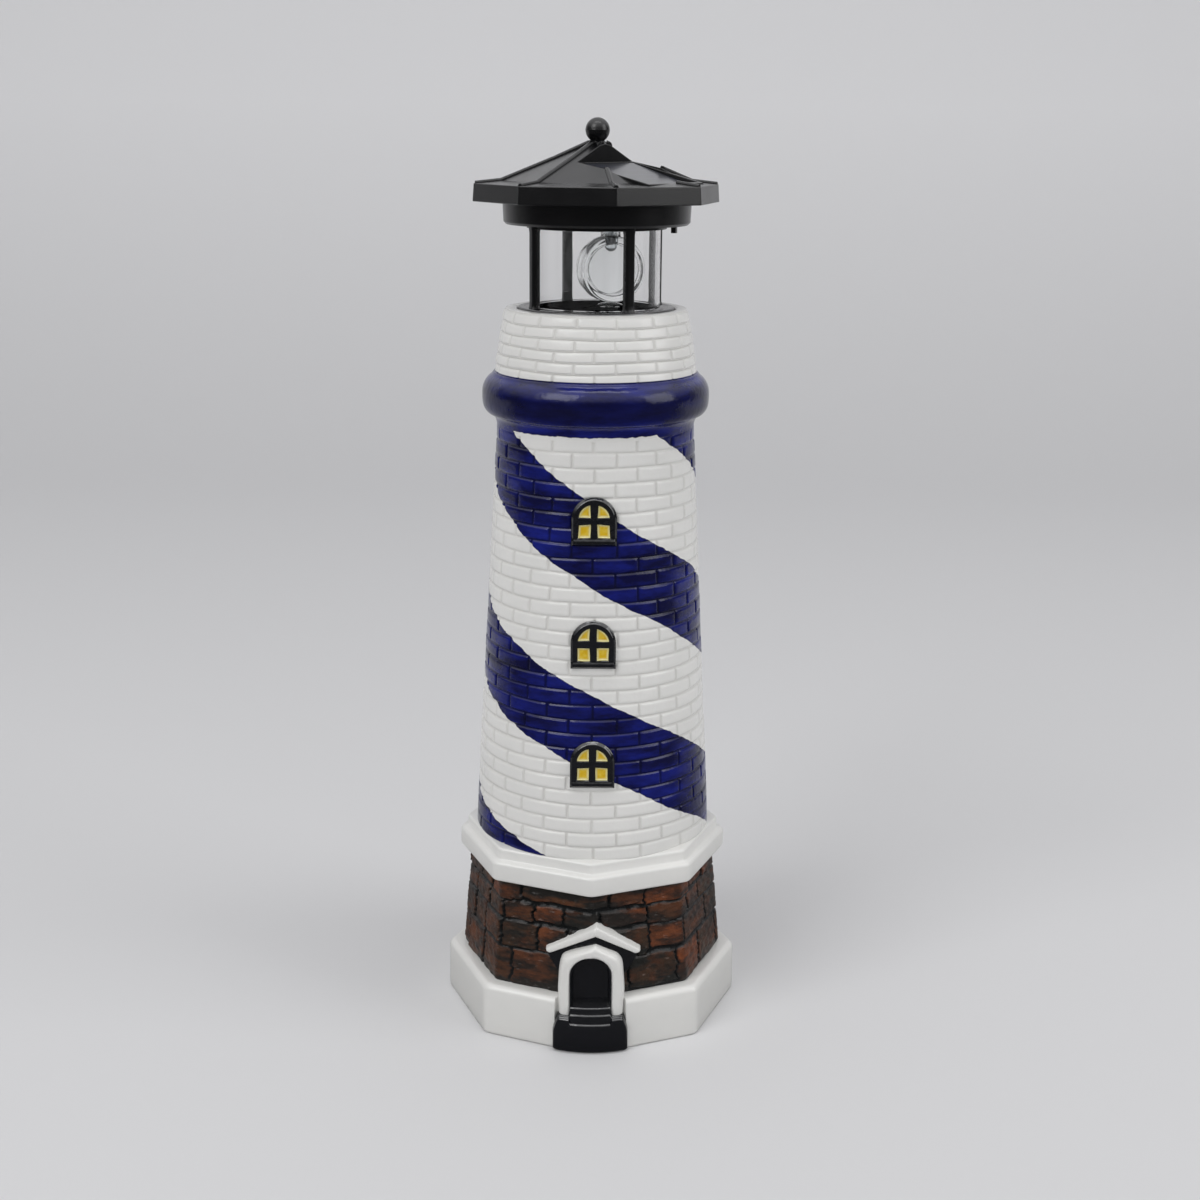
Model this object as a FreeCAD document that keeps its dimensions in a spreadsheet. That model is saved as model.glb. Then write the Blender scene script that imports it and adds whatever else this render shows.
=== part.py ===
import FreeCAD, Part
import math
import os
import Sketcher
from FreeCAD import Placement, Rotation, Vector

# Garden lighthouse ornament: a glazed earthenware tower with a drop-in solar lantern.
# Origin at the middle of the foot, +Z up, the door and windows face -Y. Millimetres.

DOCUMENT = FreeCAD.newDocument("GardenLighthouse")
TABLE = DOCUMENT.addObject("Spreadsheet::Sheet", "Sizes")

SIZES = {
    # tower, storey by storey
    "plinth_radius": 62.5, "plinth_height": 22.0, "plinth_edge": 2.0, "plinth_bore": 50.0,
    "stone_foot_radius": 56.4, "stone_head_radius": 52.0, "stone_height": 44.8,
    "cornice_radius": 56.8, "cornice_height": 8.5, "cornice_top_radius": 53.7, "cornice_top_height": 5.3,
    "shaft_foot_radius": 49.1, "shaft_head_radius": 39.8, "shaft_height": 166.4, "shaft_wall": 5.0,
    "cove_height": 7.7, "ring_radius": 45.7, "ring_height": 16.9,
    "neck_foot_radius": 40.5, "neck_head_radius": 36.5, "neck_height": 25.2, "neck_bore": 29.5,
    "socket_radius": 31.7, "socket_depth": 2.5,
    # reliefs on the tower
    "window_half_width": 8.9, "window_height": 19.2, "window_rise": 1.8, "frame_width": 2.0,
    "pane_depth": 1.1, "window_gap": 49.25, "top_window_sill": 209.4,
    "door_half_width": 14.0, "door_top": 47.4, "door_front": 60.6, "doorway_half_width": 8.0,
    "doorway_top": 42.1, "doorway_depth": 5.0, "step_half_width": 15.3, "step_height": 17.3,
    "step_front": 61.8, "tread_rise": 2.6, "tread_going": 1.7, "gable_half_width": 19.3,
    "gable_peak": 56.6, "gable_end": 45.5, "gable_thickness": 4.2, "gable_front": 59.2,
    # lantern base
    "disc_radius": 31.2, "disc_thickness": 3.0, "spigot_length": 9.0, "spigot_wall": 2.0,
    "spigot_clearance": 0.4, "bush_radius": 2.8, "bush_flange_radius": 5.0, "bush_flange": 1.4,
    "post_circle": 27.15, "post_depth": 3.4, "post_width": 3.8, "post_turn": 27.3,
    "peg_radius": 1.0, "peg_length": 2.0, "running_clearance": 0.05,
    # clear tube and drum
    "tube_radius": 25.3, "tube_wall": 1.2, "tube_height": 30.5,
    "plate_radius": 27.7, "plate_thickness": 1.5, "drum_radius": 37.2, "drum_foot_radius": 36.9,
    "drum_height": 8.6, "drum_floor": 2.0, "drum_wall": 1.8, "drum_lip": 1.6,
    # roof
    "eave_radius": 49.1, "eave_top_radius": 48.6, "fascia_height": 6.9, "roof_turn": 8.5,
    "flare_radius": 38.0, "flare_drop": 15.3, "mid_radius": 16.8, "mid_drop": 6.7, "roof_rise": 16.4,
    "peak_radius": 3.2, "peak_drop": 0.9, "roof_wall": 2.0, "soffit_thickness": 2.0,
    "rib_width": 2.0, "rib_height": 1.0,
    "ball_radius": 4.8, "ball_stem_radius": 1.5, "ball_stem_length": 4.0, "ball_drop": 0.8,
    # solar panel and the tray that holds it
    "panel_turn": 53.5, "panel_slope": 0.278, "panel_drop": 7.05, "panel_start": 5.2,
    "panel_length": 31.0, "panel_half_width": 16.8, "panel_thickness": 1.6, "panel_clearance": 0.2,
    "tray_wall": 1.4, "tray_floor": 1.8, "tray_rim_slope": 0.224,
    # gear train
    "optic_offset": 5.5, "gear_module": 0.6, "gear_face": 2.4, "drive_teeth": 36, "idler_teeth": 30,
    "pinion_teeth": 12, "tooth_addendum": 0.8, "tooth_dedendum": 1.05, "tooth_backlash": 0.12,
    "gear_lift": 0.4, "gear_step": 0.4, "axle_radius": 0.75, "motor_turn": 20.0,
    "motor_radius": 8.0, "motor_height": 6.6, "motor_wall": 0.6, "end_cap_height": 1.4,
    "armature_clearance": 0.7, "bridge_thickness": 1.3, "leg_radius": 2.0,
    # rotor and lamp
    "ring_outer_radius": 13.0, "ring_inner_radius": 9.6, "ring_width": 11.0, "ring_height_above": 14.7,
    "neck_radius": 3.9, "neck_hole": 3.1, "rotor_pin_radius": 1.3, "rotor_pin_length": 3.0,
    "rotor_turn": 14.0, "lens_thickness": 1.2, "lens_crown": 1.6, "lens_inset": 0.6,
    "led_radius": 2.5, "led_length": 8.6, "led_flange_radius": 2.9, "led_flange": 1.0,
    "stem_radius": 1.9, "stem_flange_radius": 3.4, "stem_flange": 1.0,
    # battery
    "cell_radius": 5.25, "cell_length": 43.5, "cell_nub_radius": 1.9, "cell_nub_length": 1.0,
    "cell_circle": 17.0, "cell_turn": -60.0, "holder_wall": 1.0, "holder_floor": 0.8,
    "holder_height": 7.5, "contact_thickness": 0.5, "contact_width": 7.0,
    # circuit board and switch
    "board_length": 18.0, "board_width": 10.5, "board_thickness": 1.6, "board_lift": 2.5,
    "board_circle": 23.0, "board_shift": -5.0, "switch_circle": 32.3, "switch_turn": 70.0,
    "switch_length": 8.6, "switch_width": 3.6, "switch_height": 3.6, "slider_width": 1.9,
    "slider_length": 2.0, "slider_drop": 4.6, "switch_travel": 2.0,
    # screws
    "screw_radius": 1.1, "screw_head_radius": 2.0, "screw_head": 1.2, "screw_clearance": 0.15,
    "roof_screw_circle": 31.5, "roof_screw_turn": 12.0, "roof_screw_length": 12.0, "boss_radius": 2.6,
    "plate_screw_circle": 18.5, "plate_screw_length": 3.0,
}

WINDOWS = 3
OCTAGON = 8
SCREWS_PER_RING = 4
QUARTER = 90.0
GROUND = 0.0


class Size:
    """A size from the sheet, or one worked out from it: its present value and its formula."""

    def __init__(self, value, formula):
        self.value = float(value)
        self.formula = formula

    def __float__(self):
        return self.value

    def joined(self, other, sign, value):
        text = other.formula if isinstance(other, Size) else "%.9f" % other
        return Size(value, "(%s %s %s)" % (self.formula, sign, text))

    def __add__(self, other):
        return self.joined(other, "+", self.value + float(other))

    def __sub__(self, other):
        return self.joined(other, "-", self.value - float(other))

    def __mul__(self, other):
        return self.joined(other, "*", self.value * float(other))

    def __truediv__(self, other):
        return self.joined(other, "/", self.value / float(other))

    def __neg__(self):
        return self * -1.0


class Sheet:
    """The sheet's cells, read as attributes."""

    def __getattr__(self, alias):
        return Size(SIZES[alias], "Sizes." + alias)


for row, (alias, number) in enumerate(SIZES.items(), start=1):
    TABLE.set("A%d" % row, alias)
    TABLE.set("B%d" % row, str(number))
    TABLE.setAlias("B%d" % row, alias)
DOCUMENT.recompute()
S = Sheet()

PIECES = []


# ---- small builders -------------------------------------------------------------------

def bind(item, prop, size):
    """Set a property to a size, by its formula where it has one."""
    if isinstance(size, Size):
        item.setExpression(prop, size.formula)
    else:
        setattr(item, prop, size)


def place(item, x=0.0, y=0.0, z=0.0, turn=0.0, axis=Vector(0, 0, 1)):
    """Put an object at a place, turned about one axis by a number of degrees."""
    item.Placement = Placement(Vector(float(x), float(y), float(z)), Rotation(axis, float(turn)))
    for letter, size in (("x", x), ("y", y), ("z", z)):
        if isinstance(size, Size):
            item.setExpression(".Placement.Base." + letter, size.formula)
    return item


def piece(item, label):
    """Name an object as a finished sub-part."""
    item.Label = label
    PIECES.append(item)
    return item


def cylinder(radius, height, **where):
    item = DOCUMENT.addObject("Part::Cylinder", "Cylinder")
    bind(item, "Radius", radius)
    bind(item, "Height", height)
    return place(item, **where)


def cone(foot_radius, head_radius, height, **where):
    item = DOCUMENT.addObject("Part::Cone", "Cone")
    bind(item, "Radius1", foot_radius)
    bind(item, "Radius2", head_radius)
    bind(item, "Height", height)
    return place(item, **where)


def ball(radius, **where):
    item = DOCUMENT.addObject("Part::Sphere", "Sphere")
    bind(item, "Radius", radius)
    return place(item, **where)


def fuse(*items):
    item = DOCUMENT.addObject("Part::MultiFuse", "Fusion")
    item.Shapes = list(items)
    return item


def cut(base, *tools):
    item = DOCUMENT.addObject("Part::Cut", "Cut")
    item.Base = base
    item.Tool = tools[0] if len(tools) == 1 else fuse(*tools)
    return item


def origin_plane(body, role):
    return next(plane for plane in body.Origin.OriginFeatures if plane.Role == role)


def sketch_outline(body, role, corners, offset=0.0):
    """A closed outline of straight lines, each corner held by its distances from the origin."""
    sketch = body.newObject("Sketcher::SketchObject", "Outline")
    sketch.AttachmentSupport = (origin_plane(body, role), [""])
    sketch.MapMode = "FlatFace"
    sketch.AttachmentOffset = Placement(Vector(0, 0, float(offset)), Rotation())
    if isinstance(offset, Size):
        sketch.setExpression(".AttachmentOffset.Base.z", offset.formula)
    points = [Vector(float(u), float(v), 0) for u, v in corners]
    count = len(points)
    for index in range(count):
        sketch.addGeometry(Part.LineSegment(points[index], points[(index + 1) % count]))
    for index in range(count):
        sketch.addConstraint(Sketcher.Constraint("Coincident", index, 2, (index + 1) % count, 1))
    for index, corner in enumerate(corners):
        for kind, size in zip(("DistanceX", "DistanceY"), corner):
            constraint = Sketcher.Constraint(kind, -1, 1, index, 1, float(size))
            number = sketch.addConstraint(constraint)
            if isinstance(size, Size):
                sketch.setExpression("Constraints[%d]" % number, size.formula)
    return sketch


def turned(corners, **where):
    """A turned body: an outline of (radius, height) corners, revolved about Z."""
    body = DOCUMENT.addObject("PartDesign::Body", "Turned")
    sketch = sketch_outline(body, "XZ_Plane", corners)
    feature = body.newObject("PartDesign::Revolution", "Revolution")
    feature.Profile = sketch
    feature.ReferenceAxis = (sketch, ["V_Axis"])
    feature.Angle = 360.0
    return place(body, **where)


def plate(corners, bottom, thickness, **where):
    """A flat plate: an outline of (x, y) corners, padded upwards from a height."""
    body = DOCUMENT.addObject("PartDesign::Body", "Plate")
    sketch = sketch_outline(body, "XY_Plane", corners, bottom)
    feature = body.newObject("PartDesign::Pad", "Pad")
    feature.Profile = sketch
    bind(feature, "Length", thickness)
    return place(body, **where)


def slab(corners, width, **where):
    """A slab: an outline of (x, z) corners, padded by half its width to either side."""
    body = DOCUMENT.addObject("PartDesign::Body", "Slab")
    sketch = sketch_outline(body, "XZ_Plane", corners)
    feature = body.newObject("PartDesign::Pad", "Pad")
    feature.Profile = sketch
    feature.Midplane = True
    bind(feature, "Length", width)
    return place(body, **where)


def relief(corners, back, front):
    """A relief on the tower's front: an outline of (x, z) corners, from one depth to another."""
    body = DOCUMENT.addObject("PartDesign::Body", "Relief")
    sketch = sketch_outline(body, "XZ_Plane", corners, back)
    feature = body.newObject("PartDesign::Pad", "Pad")
    feature.Profile = sketch
    bind(feature, "Length", front - back)
    return body


def block(length, width, height):
    """Corners of a rectangle centred on the origin, and its height, as a plate's outline."""
    half_length, half_width = length / 2.0, width / 2.0
    return [(-half_length, -half_width), (half_length, -half_width),
            (half_length, half_width), (-half_length, half_width)], height


def centred_box(length, width, height, bottom=0.0, **where):
    corners, tall = block(length, width, height)
    return plate(corners, bottom, tall, **where)


def octagons(levels, turn=0.0):
    """An eight-sided tower through (circumradius, height) levels, faces ruled between them."""
    sections = []
    for radius, height in levels:
        polygon = DOCUMENT.addObject("Part::RegularPolygon", "Octagon")
        polygon.Polygon = OCTAGON
        bind(polygon, "Circumradius", radius)
        sections.append(place(polygon, z=height, turn=turn))
    item = DOCUMENT.addObject("Part::Loft", "Loft")
    item.Sections = sections
    item.Solid = True
    item.Ruled = True
    return item


def arch(half_width, foot, top, back, front):
    """A round-headed arch standing on its foot: a block and a half round, seen from -Y."""
    spring = top - half_width
    corners = [(-half_width, foot), (half_width, foot), (half_width, spring), (-half_width, spring)]
    head = cylinder(half_width, front - back, y=-back, z=spring, turn=90.0, axis=Vector(1, 0, 0))
    return fuse(relief(corners, back, front), head)


def around(radius, turn, centre_x=0.0):
    """A point at a radius, turned from the front (-Y) towards +X by a number of degrees."""
    angle = math.radians(float(turn))
    return radius * math.sin(angle) + centre_x, -(radius * math.cos(angle))


# ---- heights that the storeys add up to ------------------------------------------------

STONE_FOOT = S.plinth_height
CORNICE_FOOT = STONE_FOOT + S.stone_height
CORNICE_STEP = CORNICE_FOOT + S.cornice_height
SHAFT_FOOT = CORNICE_STEP + S.cornice_top_height
SHAFT_HEAD = SHAFT_FOOT + S.shaft_height
RING_FOOT = SHAFT_HEAD + S.cove_height
NECK_FOOT = RING_FOOT + S.ring_height
NECK_HEAD = NECK_FOOT + S.neck_height
SOCKET_FLOOR = NECK_HEAD - S.socket_depth
DISC_TOP = SOCKET_FLOOR + S.disc_thickness
TUBE_TOP = DISC_TOP + S.tube_height
DRUM_FOOT = TUBE_TOP + S.plate_thickness
DRUM_INSIDE = DRUM_FOOT + S.drum_floor
DRUM_HEAD = DRUM_FOOT + S.drum_height
FASCIA_TOP = DRUM_HEAD + S.fascia_height
PEAK = FASCIA_TOP + S.roof_rise


# ---- tower: one slip-cast earthenware shell --------------------------------------------

def shaft_radius(height):
    """Outer radius of the tapering shaft at a height."""
    share = (height - SHAFT_FOOT) / S.shaft_height
    return S.shaft_foot_radius - (S.shaft_foot_radius - S.shaft_head_radius) * share


def tower_solids():
    plinth = octagons([
        (S.plinth_radius, GROUND),
        (S.plinth_radius, S.plinth_height - S.plinth_edge),
        (S.plinth_radius - S.plinth_edge, S.plinth_height),
    ])
    stones = octagons([(S.stone_foot_radius, STONE_FOOT), (S.stone_head_radius, CORNICE_FOOT)])
    cornice = octagons([(S.cornice_radius, CORNICE_FOOT), (S.cornice_radius, CORNICE_STEP)])
    cornice_top = octagons([(S.cornice_top_radius, CORNICE_STEP), (S.cornice_top_radius, SHAFT_FOOT)])
    ring_middle = RING_FOOT + S.ring_height * 0.47
    shaft = turned([
        (0.0, SHAFT_FOOT), (S.shaft_foot_radius, SHAFT_FOOT), (S.shaft_head_radius, SHAFT_HEAD),
        (S.shaft_head_radius + 0.6, SHAFT_HEAD + S.cove_height * 0.6),
        (S.ring_radius - 3.4, RING_FOOT), (S.ring_radius - 1.0, RING_FOOT + S.ring_height * 0.12),
        (S.ring_radius, ring_middle - S.ring_height * 0.12),
        (S.ring_radius, ring_middle + S.ring_height * 0.08),
        (S.ring_radius - 1.2, ring_middle + S.ring_height * 0.3),
        (S.neck_foot_radius, NECK_FOOT), (S.neck_head_radius, NECK_HEAD), (0.0, NECK_HEAD),
    ])
    return [plinth, stones, cornice, cornice_top, shaft]


def tower_bore():
    """The hollow that the slip leaves, closing in to the ledge that the lantern sits on."""
    ledge = S.socket_depth * 2.0
    return turned([
        (0.0, -1.0), (S.plinth_bore, -1.0), (S.plinth_bore, S.plinth_height - S.shaft_wall),
        (S.shaft_foot_radius - S.shaft_wall, STONE_FOOT + S.shaft_wall),
        (S.shaft_foot_radius - S.shaft_wall, SHAFT_FOOT),
        (S.shaft_head_radius - S.shaft_wall, SHAFT_HEAD),
        (S.shaft_head_radius - S.shaft_wall, NECK_FOOT),
        (S.neck_head_radius - S.shaft_wall, SOCKET_FLOOR - ledge - S.shaft_wall),
        (S.neck_bore, SOCKET_FLOOR - ledge), (S.neck_bore, SOCKET_FLOOR),
        (S.socket_radius, SOCKET_FLOOR), (S.socket_radius, NECK_HEAD + 1.0), (0.0, NECK_HEAD + 1.0),
    ])


def window(sill):
    """A raised round-headed frame on the shaft, and the sunk panes inside it."""
    face = shaft_radius(sill + S.window_height / 2.0)
    top = sill + S.window_height
    front = face + S.window_rise
    frame = arch(S.window_half_width, sill, top, face - S.shaft_wall * 0.6, front)
    inside = arch(S.window_half_width - S.frame_width, sill + S.frame_width, top - S.frame_width,
                  front - S.pane_depth, front + 2.0)
    return frame, inside


def doorway():
    """The door surround, its sunk opening, the gable over it and the steps up to it."""
    back = S.stone_head_radius - S.shaft_wall * 0.6
    surround = arch(S.door_half_width, S.step_height * 0.5, S.door_top, back, S.door_front)
    opening = arch(S.doorway_half_width, S.step_height, S.doorway_top,
                   S.door_front - S.doorway_depth, S.plinth_radius + 2.0)
    end = S.gable_end
    gable = relief([
        (-S.gable_half_width, end), (0.0, S.gable_peak - S.gable_thickness),
        (S.gable_half_width, end), (S.gable_half_width, end + S.gable_thickness),
        (0.0, S.gable_peak), (-S.gable_half_width, end + S.gable_thickness),
    ], back, S.gable_front)
    stoop = relief([
        (-S.step_half_width, GROUND), (S.step_half_width, GROUND),
        (S.step_half_width, S.step_height), (-S.step_half_width, S.step_height),
    ], back, S.step_front)
    treads = []
    for number in (1, 2):
        front = S.step_front - S.tread_going * number
        width = S.doorway_half_width
        top = S.step_height + S.tread_rise * number
        treads.append(relief([(-width, S.step_height * 0.5), (width, S.step_height * 0.5),
                              (width, top), (-width, top)], back, front))
    return [surround, gable, stoop], opening, treads


def make_tower():
    solids = tower_solids()
    hollows = []
    for number in range(WINDOWS):
        frame, inside = window(S.top_window_sill - S.window_gap * float(number))
        solids.append(frame)
        hollows.append(inside)
    reliefs, opening, treads = doorway()
    solids.extend(reliefs)
    hollows.append(opening)
    body = fuse(cut(fuse(*solids), *hollows), *treads)
    piece(cut(body, tower_bore()), "tower_casting")


# ---- lantern base, posts and clear tube ------------------------------------------------

def post_turns():
    return [float(S.post_turn) + QUARTER * number for number in range(4)]


def make_lantern_base():
    spigot = S.neck_bore - S.spigot_clearance
    disc = turned([
        (0.0, SOCKET_FLOOR), (spigot - S.spigot_wall, SOCKET_FLOOR),
        (spigot - S.spigot_wall, SOCKET_FLOOR - S.spigot_length),
        (spigot, SOCKET_FLOOR - S.spigot_length), (spigot, SOCKET_FLOOR),
        (S.disc_radius, SOCKET_FLOOR), (S.disc_radius, DISC_TOP - 0.5),
        (S.disc_radius - 0.5, DISC_TOP), (0.0, DISC_TOP),
    ])
    boss = cylinder(S.bush_radius + S.spigot_wall, S.disc_thickness,
                    x=S.optic_offset, z=SOCKET_FLOOR - S.disc_thickness)
    seat = cylinder(S.bush_radius, S.disc_thickness * 3.0,
                    x=S.optic_offset, z=SOCKET_FLOOR - S.disc_thickness * 1.5)
    holes = [seat]
    for turn in post_turns():
        x, y = around(S.post_circle, turn)
        holes.append(cylinder(S.peg_radius, S.peg_length + 1.0, x=x, y=y, z=DISC_TOP - S.peg_length))
    piece(cut(fuse(disc, boss), *holes), "lantern_base")


def make_pivot_bush():
    depth = S.disc_thickness * 2.0
    bush = turned([
        (S.rotor_pin_radius + S.running_clearance, DISC_TOP - depth),
        (S.bush_radius, DISC_TOP - depth), (S.bush_radius, DISC_TOP),
        (S.bush_flange_radius, DISC_TOP), (S.bush_flange_radius, DISC_TOP + S.bush_flange * 0.6),
        (S.bush_radius, DISC_TOP + S.bush_flange),
        (S.rotor_pin_radius + S.running_clearance, DISC_TOP + S.bush_flange),
    ], x=S.optic_offset)
    piece(bush, "pivot_bush")


def make_posts():
    names = ("post_front_right", "post_rear_right", "post_rear_left", "post_front_left")
    for name, turn in zip(names, post_turns()):
        x, y = around(S.post_circle, turn)
        shaft = centred_box(S.post_width, S.post_depth, DRUM_FOOT - DISC_TOP, DISC_TOP, x=x, y=y, turn=turn)
        foot = cylinder(S.peg_radius, S.peg_length, x=x, y=y, z=DISC_TOP - S.peg_length)
        head = cylinder(S.peg_radius, S.peg_length, x=x, y=y, z=DRUM_FOOT)
        piece(fuse(shaft, foot, head), name)


def make_clear_tube():
    inner = S.tube_radius - S.tube_wall
    tube = turned([(inner, DISC_TOP), (S.tube_radius, DISC_TOP),
                   (S.tube_radius, TUBE_TOP), (inner, TUBE_TOP)])
    piece(tube, "clear_tube")


# ---- drum under the roof ---------------------------------------------------------------

def plate_screw_places():
    return [around(S.plate_screw_circle, QUARTER * (number + 0.5)) for number in range(SCREWS_PER_RING)]


def roof_screw_places():
    return [around(S.roof_screw_circle, S.roof_screw_turn.value + QUARTER * number)
            for number in range(SCREWS_PER_RING)]


def countersunk(places, foot, length, oversize=0.0):
    """Countersunk screws standing at places, heads down, or the holes for them."""
    shanks = []
    for x, y in places:
        head = cone(S.screw_head_radius + oversize, S.screw_radius + oversize, S.screw_head, x=x, y=y, z=foot)
        shank = cylinder(S.screw_radius + oversize, length, x=x, y=y, z=foot)
        shanks.append(fuse(head, shank))
    return shanks


def make_floor_plate():
    """The round plate that closes the drum and holds the tube down, notched round the posts."""
    disc = cylinder(S.plate_radius, S.plate_thickness, z=TUBE_TOP)
    holes = [cylinder(S.neck_radius + 0.2, S.plate_thickness * 3.0,
                      x=S.optic_offset, z=TUBE_TOP - S.plate_thickness)]
    for turn in post_turns():
        x, y = around(S.post_circle, turn)
        holes.append(centred_box(S.post_width + S.running_clearance * 2.0,
                                 S.post_depth + S.running_clearance * 2.0,
                                 S.plate_thickness * 3.0, TUBE_TOP - S.plate_thickness,
                                 x=x, y=y, turn=turn))
    holes.extend(countersunk(plate_screw_places(), TUBE_TOP, S.plate_screw_length, S.screw_clearance))
    piece(cut(disc, *holes), "drum_floor_plate")
    screws = countersunk(plate_screw_places(), TUBE_TOP, S.plate_screw_length)
    piece(fuse(*screws), "floor_plate_screws")


def make_drum():
    inner = S.drum_radius - S.drum_wall
    cup = turned([
        (0.0, DRUM_FOOT), (S.drum_foot_radius - 1.0, DRUM_FOOT), (S.drum_foot_radius, DRUM_FOOT + 1.0),
        (S.drum_radius, DRUM_HEAD), (inner, DRUM_HEAD), (inner, DRUM_INSIDE), (0.0, DRUM_INSIDE),
    ])
    lip = turned([
        (inner - S.drum_lip, DRUM_HEAD - S.drum_lip), (inner, DRUM_HEAD - S.drum_lip * 2.0),
        (inner, DRUM_HEAD + S.soffit_thickness), (inner - S.drum_lip, DRUM_HEAD + S.soffit_thickness),
    ])
    board_x, board_y = board_centre()
    pillars = [cylinder(S.leg_radius, S.board_lift, x=board_x + dx, y=board_y + dy, z=DRUM_INSIDE)
               for dx, dy in board_screw_offsets()]
    pin_x, pin_y = idler_place()
    holes = [
        cylinder(S.neck_radius + 0.1, S.drum_floor * 3.0, x=S.optic_offset, z=DRUM_FOOT - S.drum_floor),
        cylinder(S.axle_radius, S.drum_floor, x=pin_x, y=pin_y, z=DRUM_INSIDE - S.drum_floor * 0.6),
        switch_slot(),
    ]
    for turn in post_turns():
        x, y = around(S.post_circle, turn)
        holes.append(cylinder(S.peg_radius, S.peg_length + 0.2, x=x, y=y, z=DRUM_FOOT - 0.1))
    for x, y in plate_screw_places():
        holes.append(cylinder(S.screw_radius, S.plate_screw_length, x=x, y=y, z=TUBE_TOP))
    for x, y in bridge_legs():
        holes.append(cylinder(S.screw_radius, S.drum_floor, x=x, y=y, z=DRUM_INSIDE - S.drum_floor * 0.6))
    for dx, dy in board_screw_offsets():
        holes.append(cylinder(S.screw_radius, S.board_lift + 0.1, x=board_x + dx, y=board_y + dy,
                              z=DRUM_INSIDE + 0.1))
    for x, y in roof_screw_places():
        holes.append(cylinder(S.boss_radius + 0.1, S.drum_height * 2.0, x=x, y=y, z=DRUM_INSIDE))
    holes.extend(countersunk(roof_screw_places(), DRUM_FOOT, S.roof_screw_length, S.screw_clearance))
    piece(cut(fuse(cup, lip, *pillars), *holes), "drum_housing")


# ---- roof, finial and solar panel -------------------------------------------------------

def roof_levels(inset):
    """The pagoda's (circumradius, height) levels, or those of its inside."""
    return [
        (S.eave_radius - inset, DRUM_HEAD),
        (S.eave_top_radius - inset, FASCIA_TOP - inset),
        (S.flare_radius - inset * 0.5, PEAK - S.flare_drop - inset),
        (S.mid_radius - inset * 0.5, PEAK - S.mid_drop - inset),
        (S.peak_radius - inset * 0.5, PEAK - S.peak_drop - inset),
    ]


def roof_height(radius):
    """Height of the roof's hips at a radius between the middle and the flare."""
    slope = (S.flare_drop - S.mid_drop) / (S.flare_radius - S.mid_radius)
    return PEAK - S.mid_drop - slope * (radius - S.mid_radius)


def panel_height(distance, slope, drop):
    """Height of the sloping panel, or of its rim, at a distance out from the axis."""
    return PEAK - drop - slope * distance


def panel_slab(start, end, below_start, below_end, half_width):
    """A slab over the panel's bed, from one pair of heights to another."""
    corners = [(start, below_start[0]), (end, below_end[0]), (end, below_end[1]), (start, below_start[1])]
    return slab(corners, half_width * 2.0, turn=float(S.panel_turn) - 90.0)


def make_roof():
    shell = cut(octagons(roof_levels(0.0), float(S.roof_turn)),
                octagons(roof_levels(S.roof_wall), float(S.roof_turn)))
    soffit = cut(octagons([(S.eave_radius - 0.2, DRUM_HEAD),
                           (S.eave_radius - 0.2, DRUM_HEAD + S.soffit_thickness)], float(S.roof_turn)),
                 cylinder(S.drum_radius - S.drum_wall + 0.1, S.soffit_thickness * 3.0,
                          z=DRUM_HEAD - S.soffit_thickness))
    ribs = []
    for number in range(OCTAGON):
        low = S.rib_height * 0.8
        rise = S.rib_height
        rib = slab([
            (S.peak_radius, PEAK - S.peak_drop - low), (S.mid_radius, PEAK - S.mid_drop - low),
            (S.flare_radius, PEAK - S.flare_drop - low), (S.eave_top_radius - 0.3, FASCIA_TOP - low),
            (S.eave_top_radius, FASCIA_TOP + rise * 0.6), (S.flare_radius, PEAK - S.flare_drop + rise),
            (S.mid_radius, PEAK - S.mid_drop + rise), (S.peak_radius, PEAK - S.peak_drop + rise * 0.5),
        ], S.rib_width, turn=float(S.roof_turn) - 90.0 + 360.0 / OCTAGON * number)
        ribs.append(rib)
    cap = cylinder(S.ball_stem_radius + S.roof_wall, S.ball_stem_length + S.roof_wall,
                   z=PEAK - S.peak_drop - S.ball_stem_length - S.roof_wall)
    boss_foot = DRUM_INSIDE + 0.2
    boss_head = roof_height(S.roof_screw_circle) - S.roof_wall * 0.9
    bosses = [cylinder(S.boss_radius, boss_head - boss_foot, x=x, y=y, z=boss_foot)
              for x, y in roof_screw_places()]

    start = S.panel_start - S.panel_clearance
    end = S.panel_start + S.panel_length + S.panel_clearance
    slope, drop = S.panel_slope, S.panel_drop
    seat = S.panel_thickness
    half = S.panel_half_width + S.panel_clearance
    outer_end = end + S.tray_wall
    outer_start = start - S.tray_wall
    tray = panel_slab(
        outer_start, outer_end,
        (panel_height(outer_start, slope, drop) - seat - S.tray_floor,
         panel_height(outer_start, S.tray_rim_slope, drop)),
        (panel_height(outer_end, slope, drop) - seat - S.tray_floor,
         panel_height(outer_end, S.tray_rim_slope, drop)),
        half + S.tray_wall)
    pocket = panel_slab(
        start, end,
        (panel_height(start, slope, drop) - seat, PEAK + S.ball_radius),
        (panel_height(end, slope, drop) - seat, PEAK + S.ball_radius),
        half)
    clear_above = panel_slab(
        start, outer_end,
        (panel_height(start, S.tray_rim_slope, drop), PEAK + S.ball_radius),
        (panel_height(outer_end, S.tray_rim_slope, drop), PEAK + S.ball_radius),
        half + S.tray_wall)
    holes = [pocket, clear_above,
             cylinder(S.ball_stem_radius, S.ball_stem_length + 2.0, z=PEAK - S.peak_drop - S.ball_stem_length)]
    for x, y in roof_screw_places():
        holes.append(cylinder(S.screw_radius, S.roof_screw_length, x=x, y=y, z=DRUM_FOOT))
    body = fuse(shell, soffit, tray, cap, *ribs, *bosses)
    piece(cut(body, *holes), "roof_shell")
    screws = countersunk(roof_screw_places(), DRUM_FOOT, S.roof_screw_length)
    piece(fuse(*screws), "roof_screws")


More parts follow.
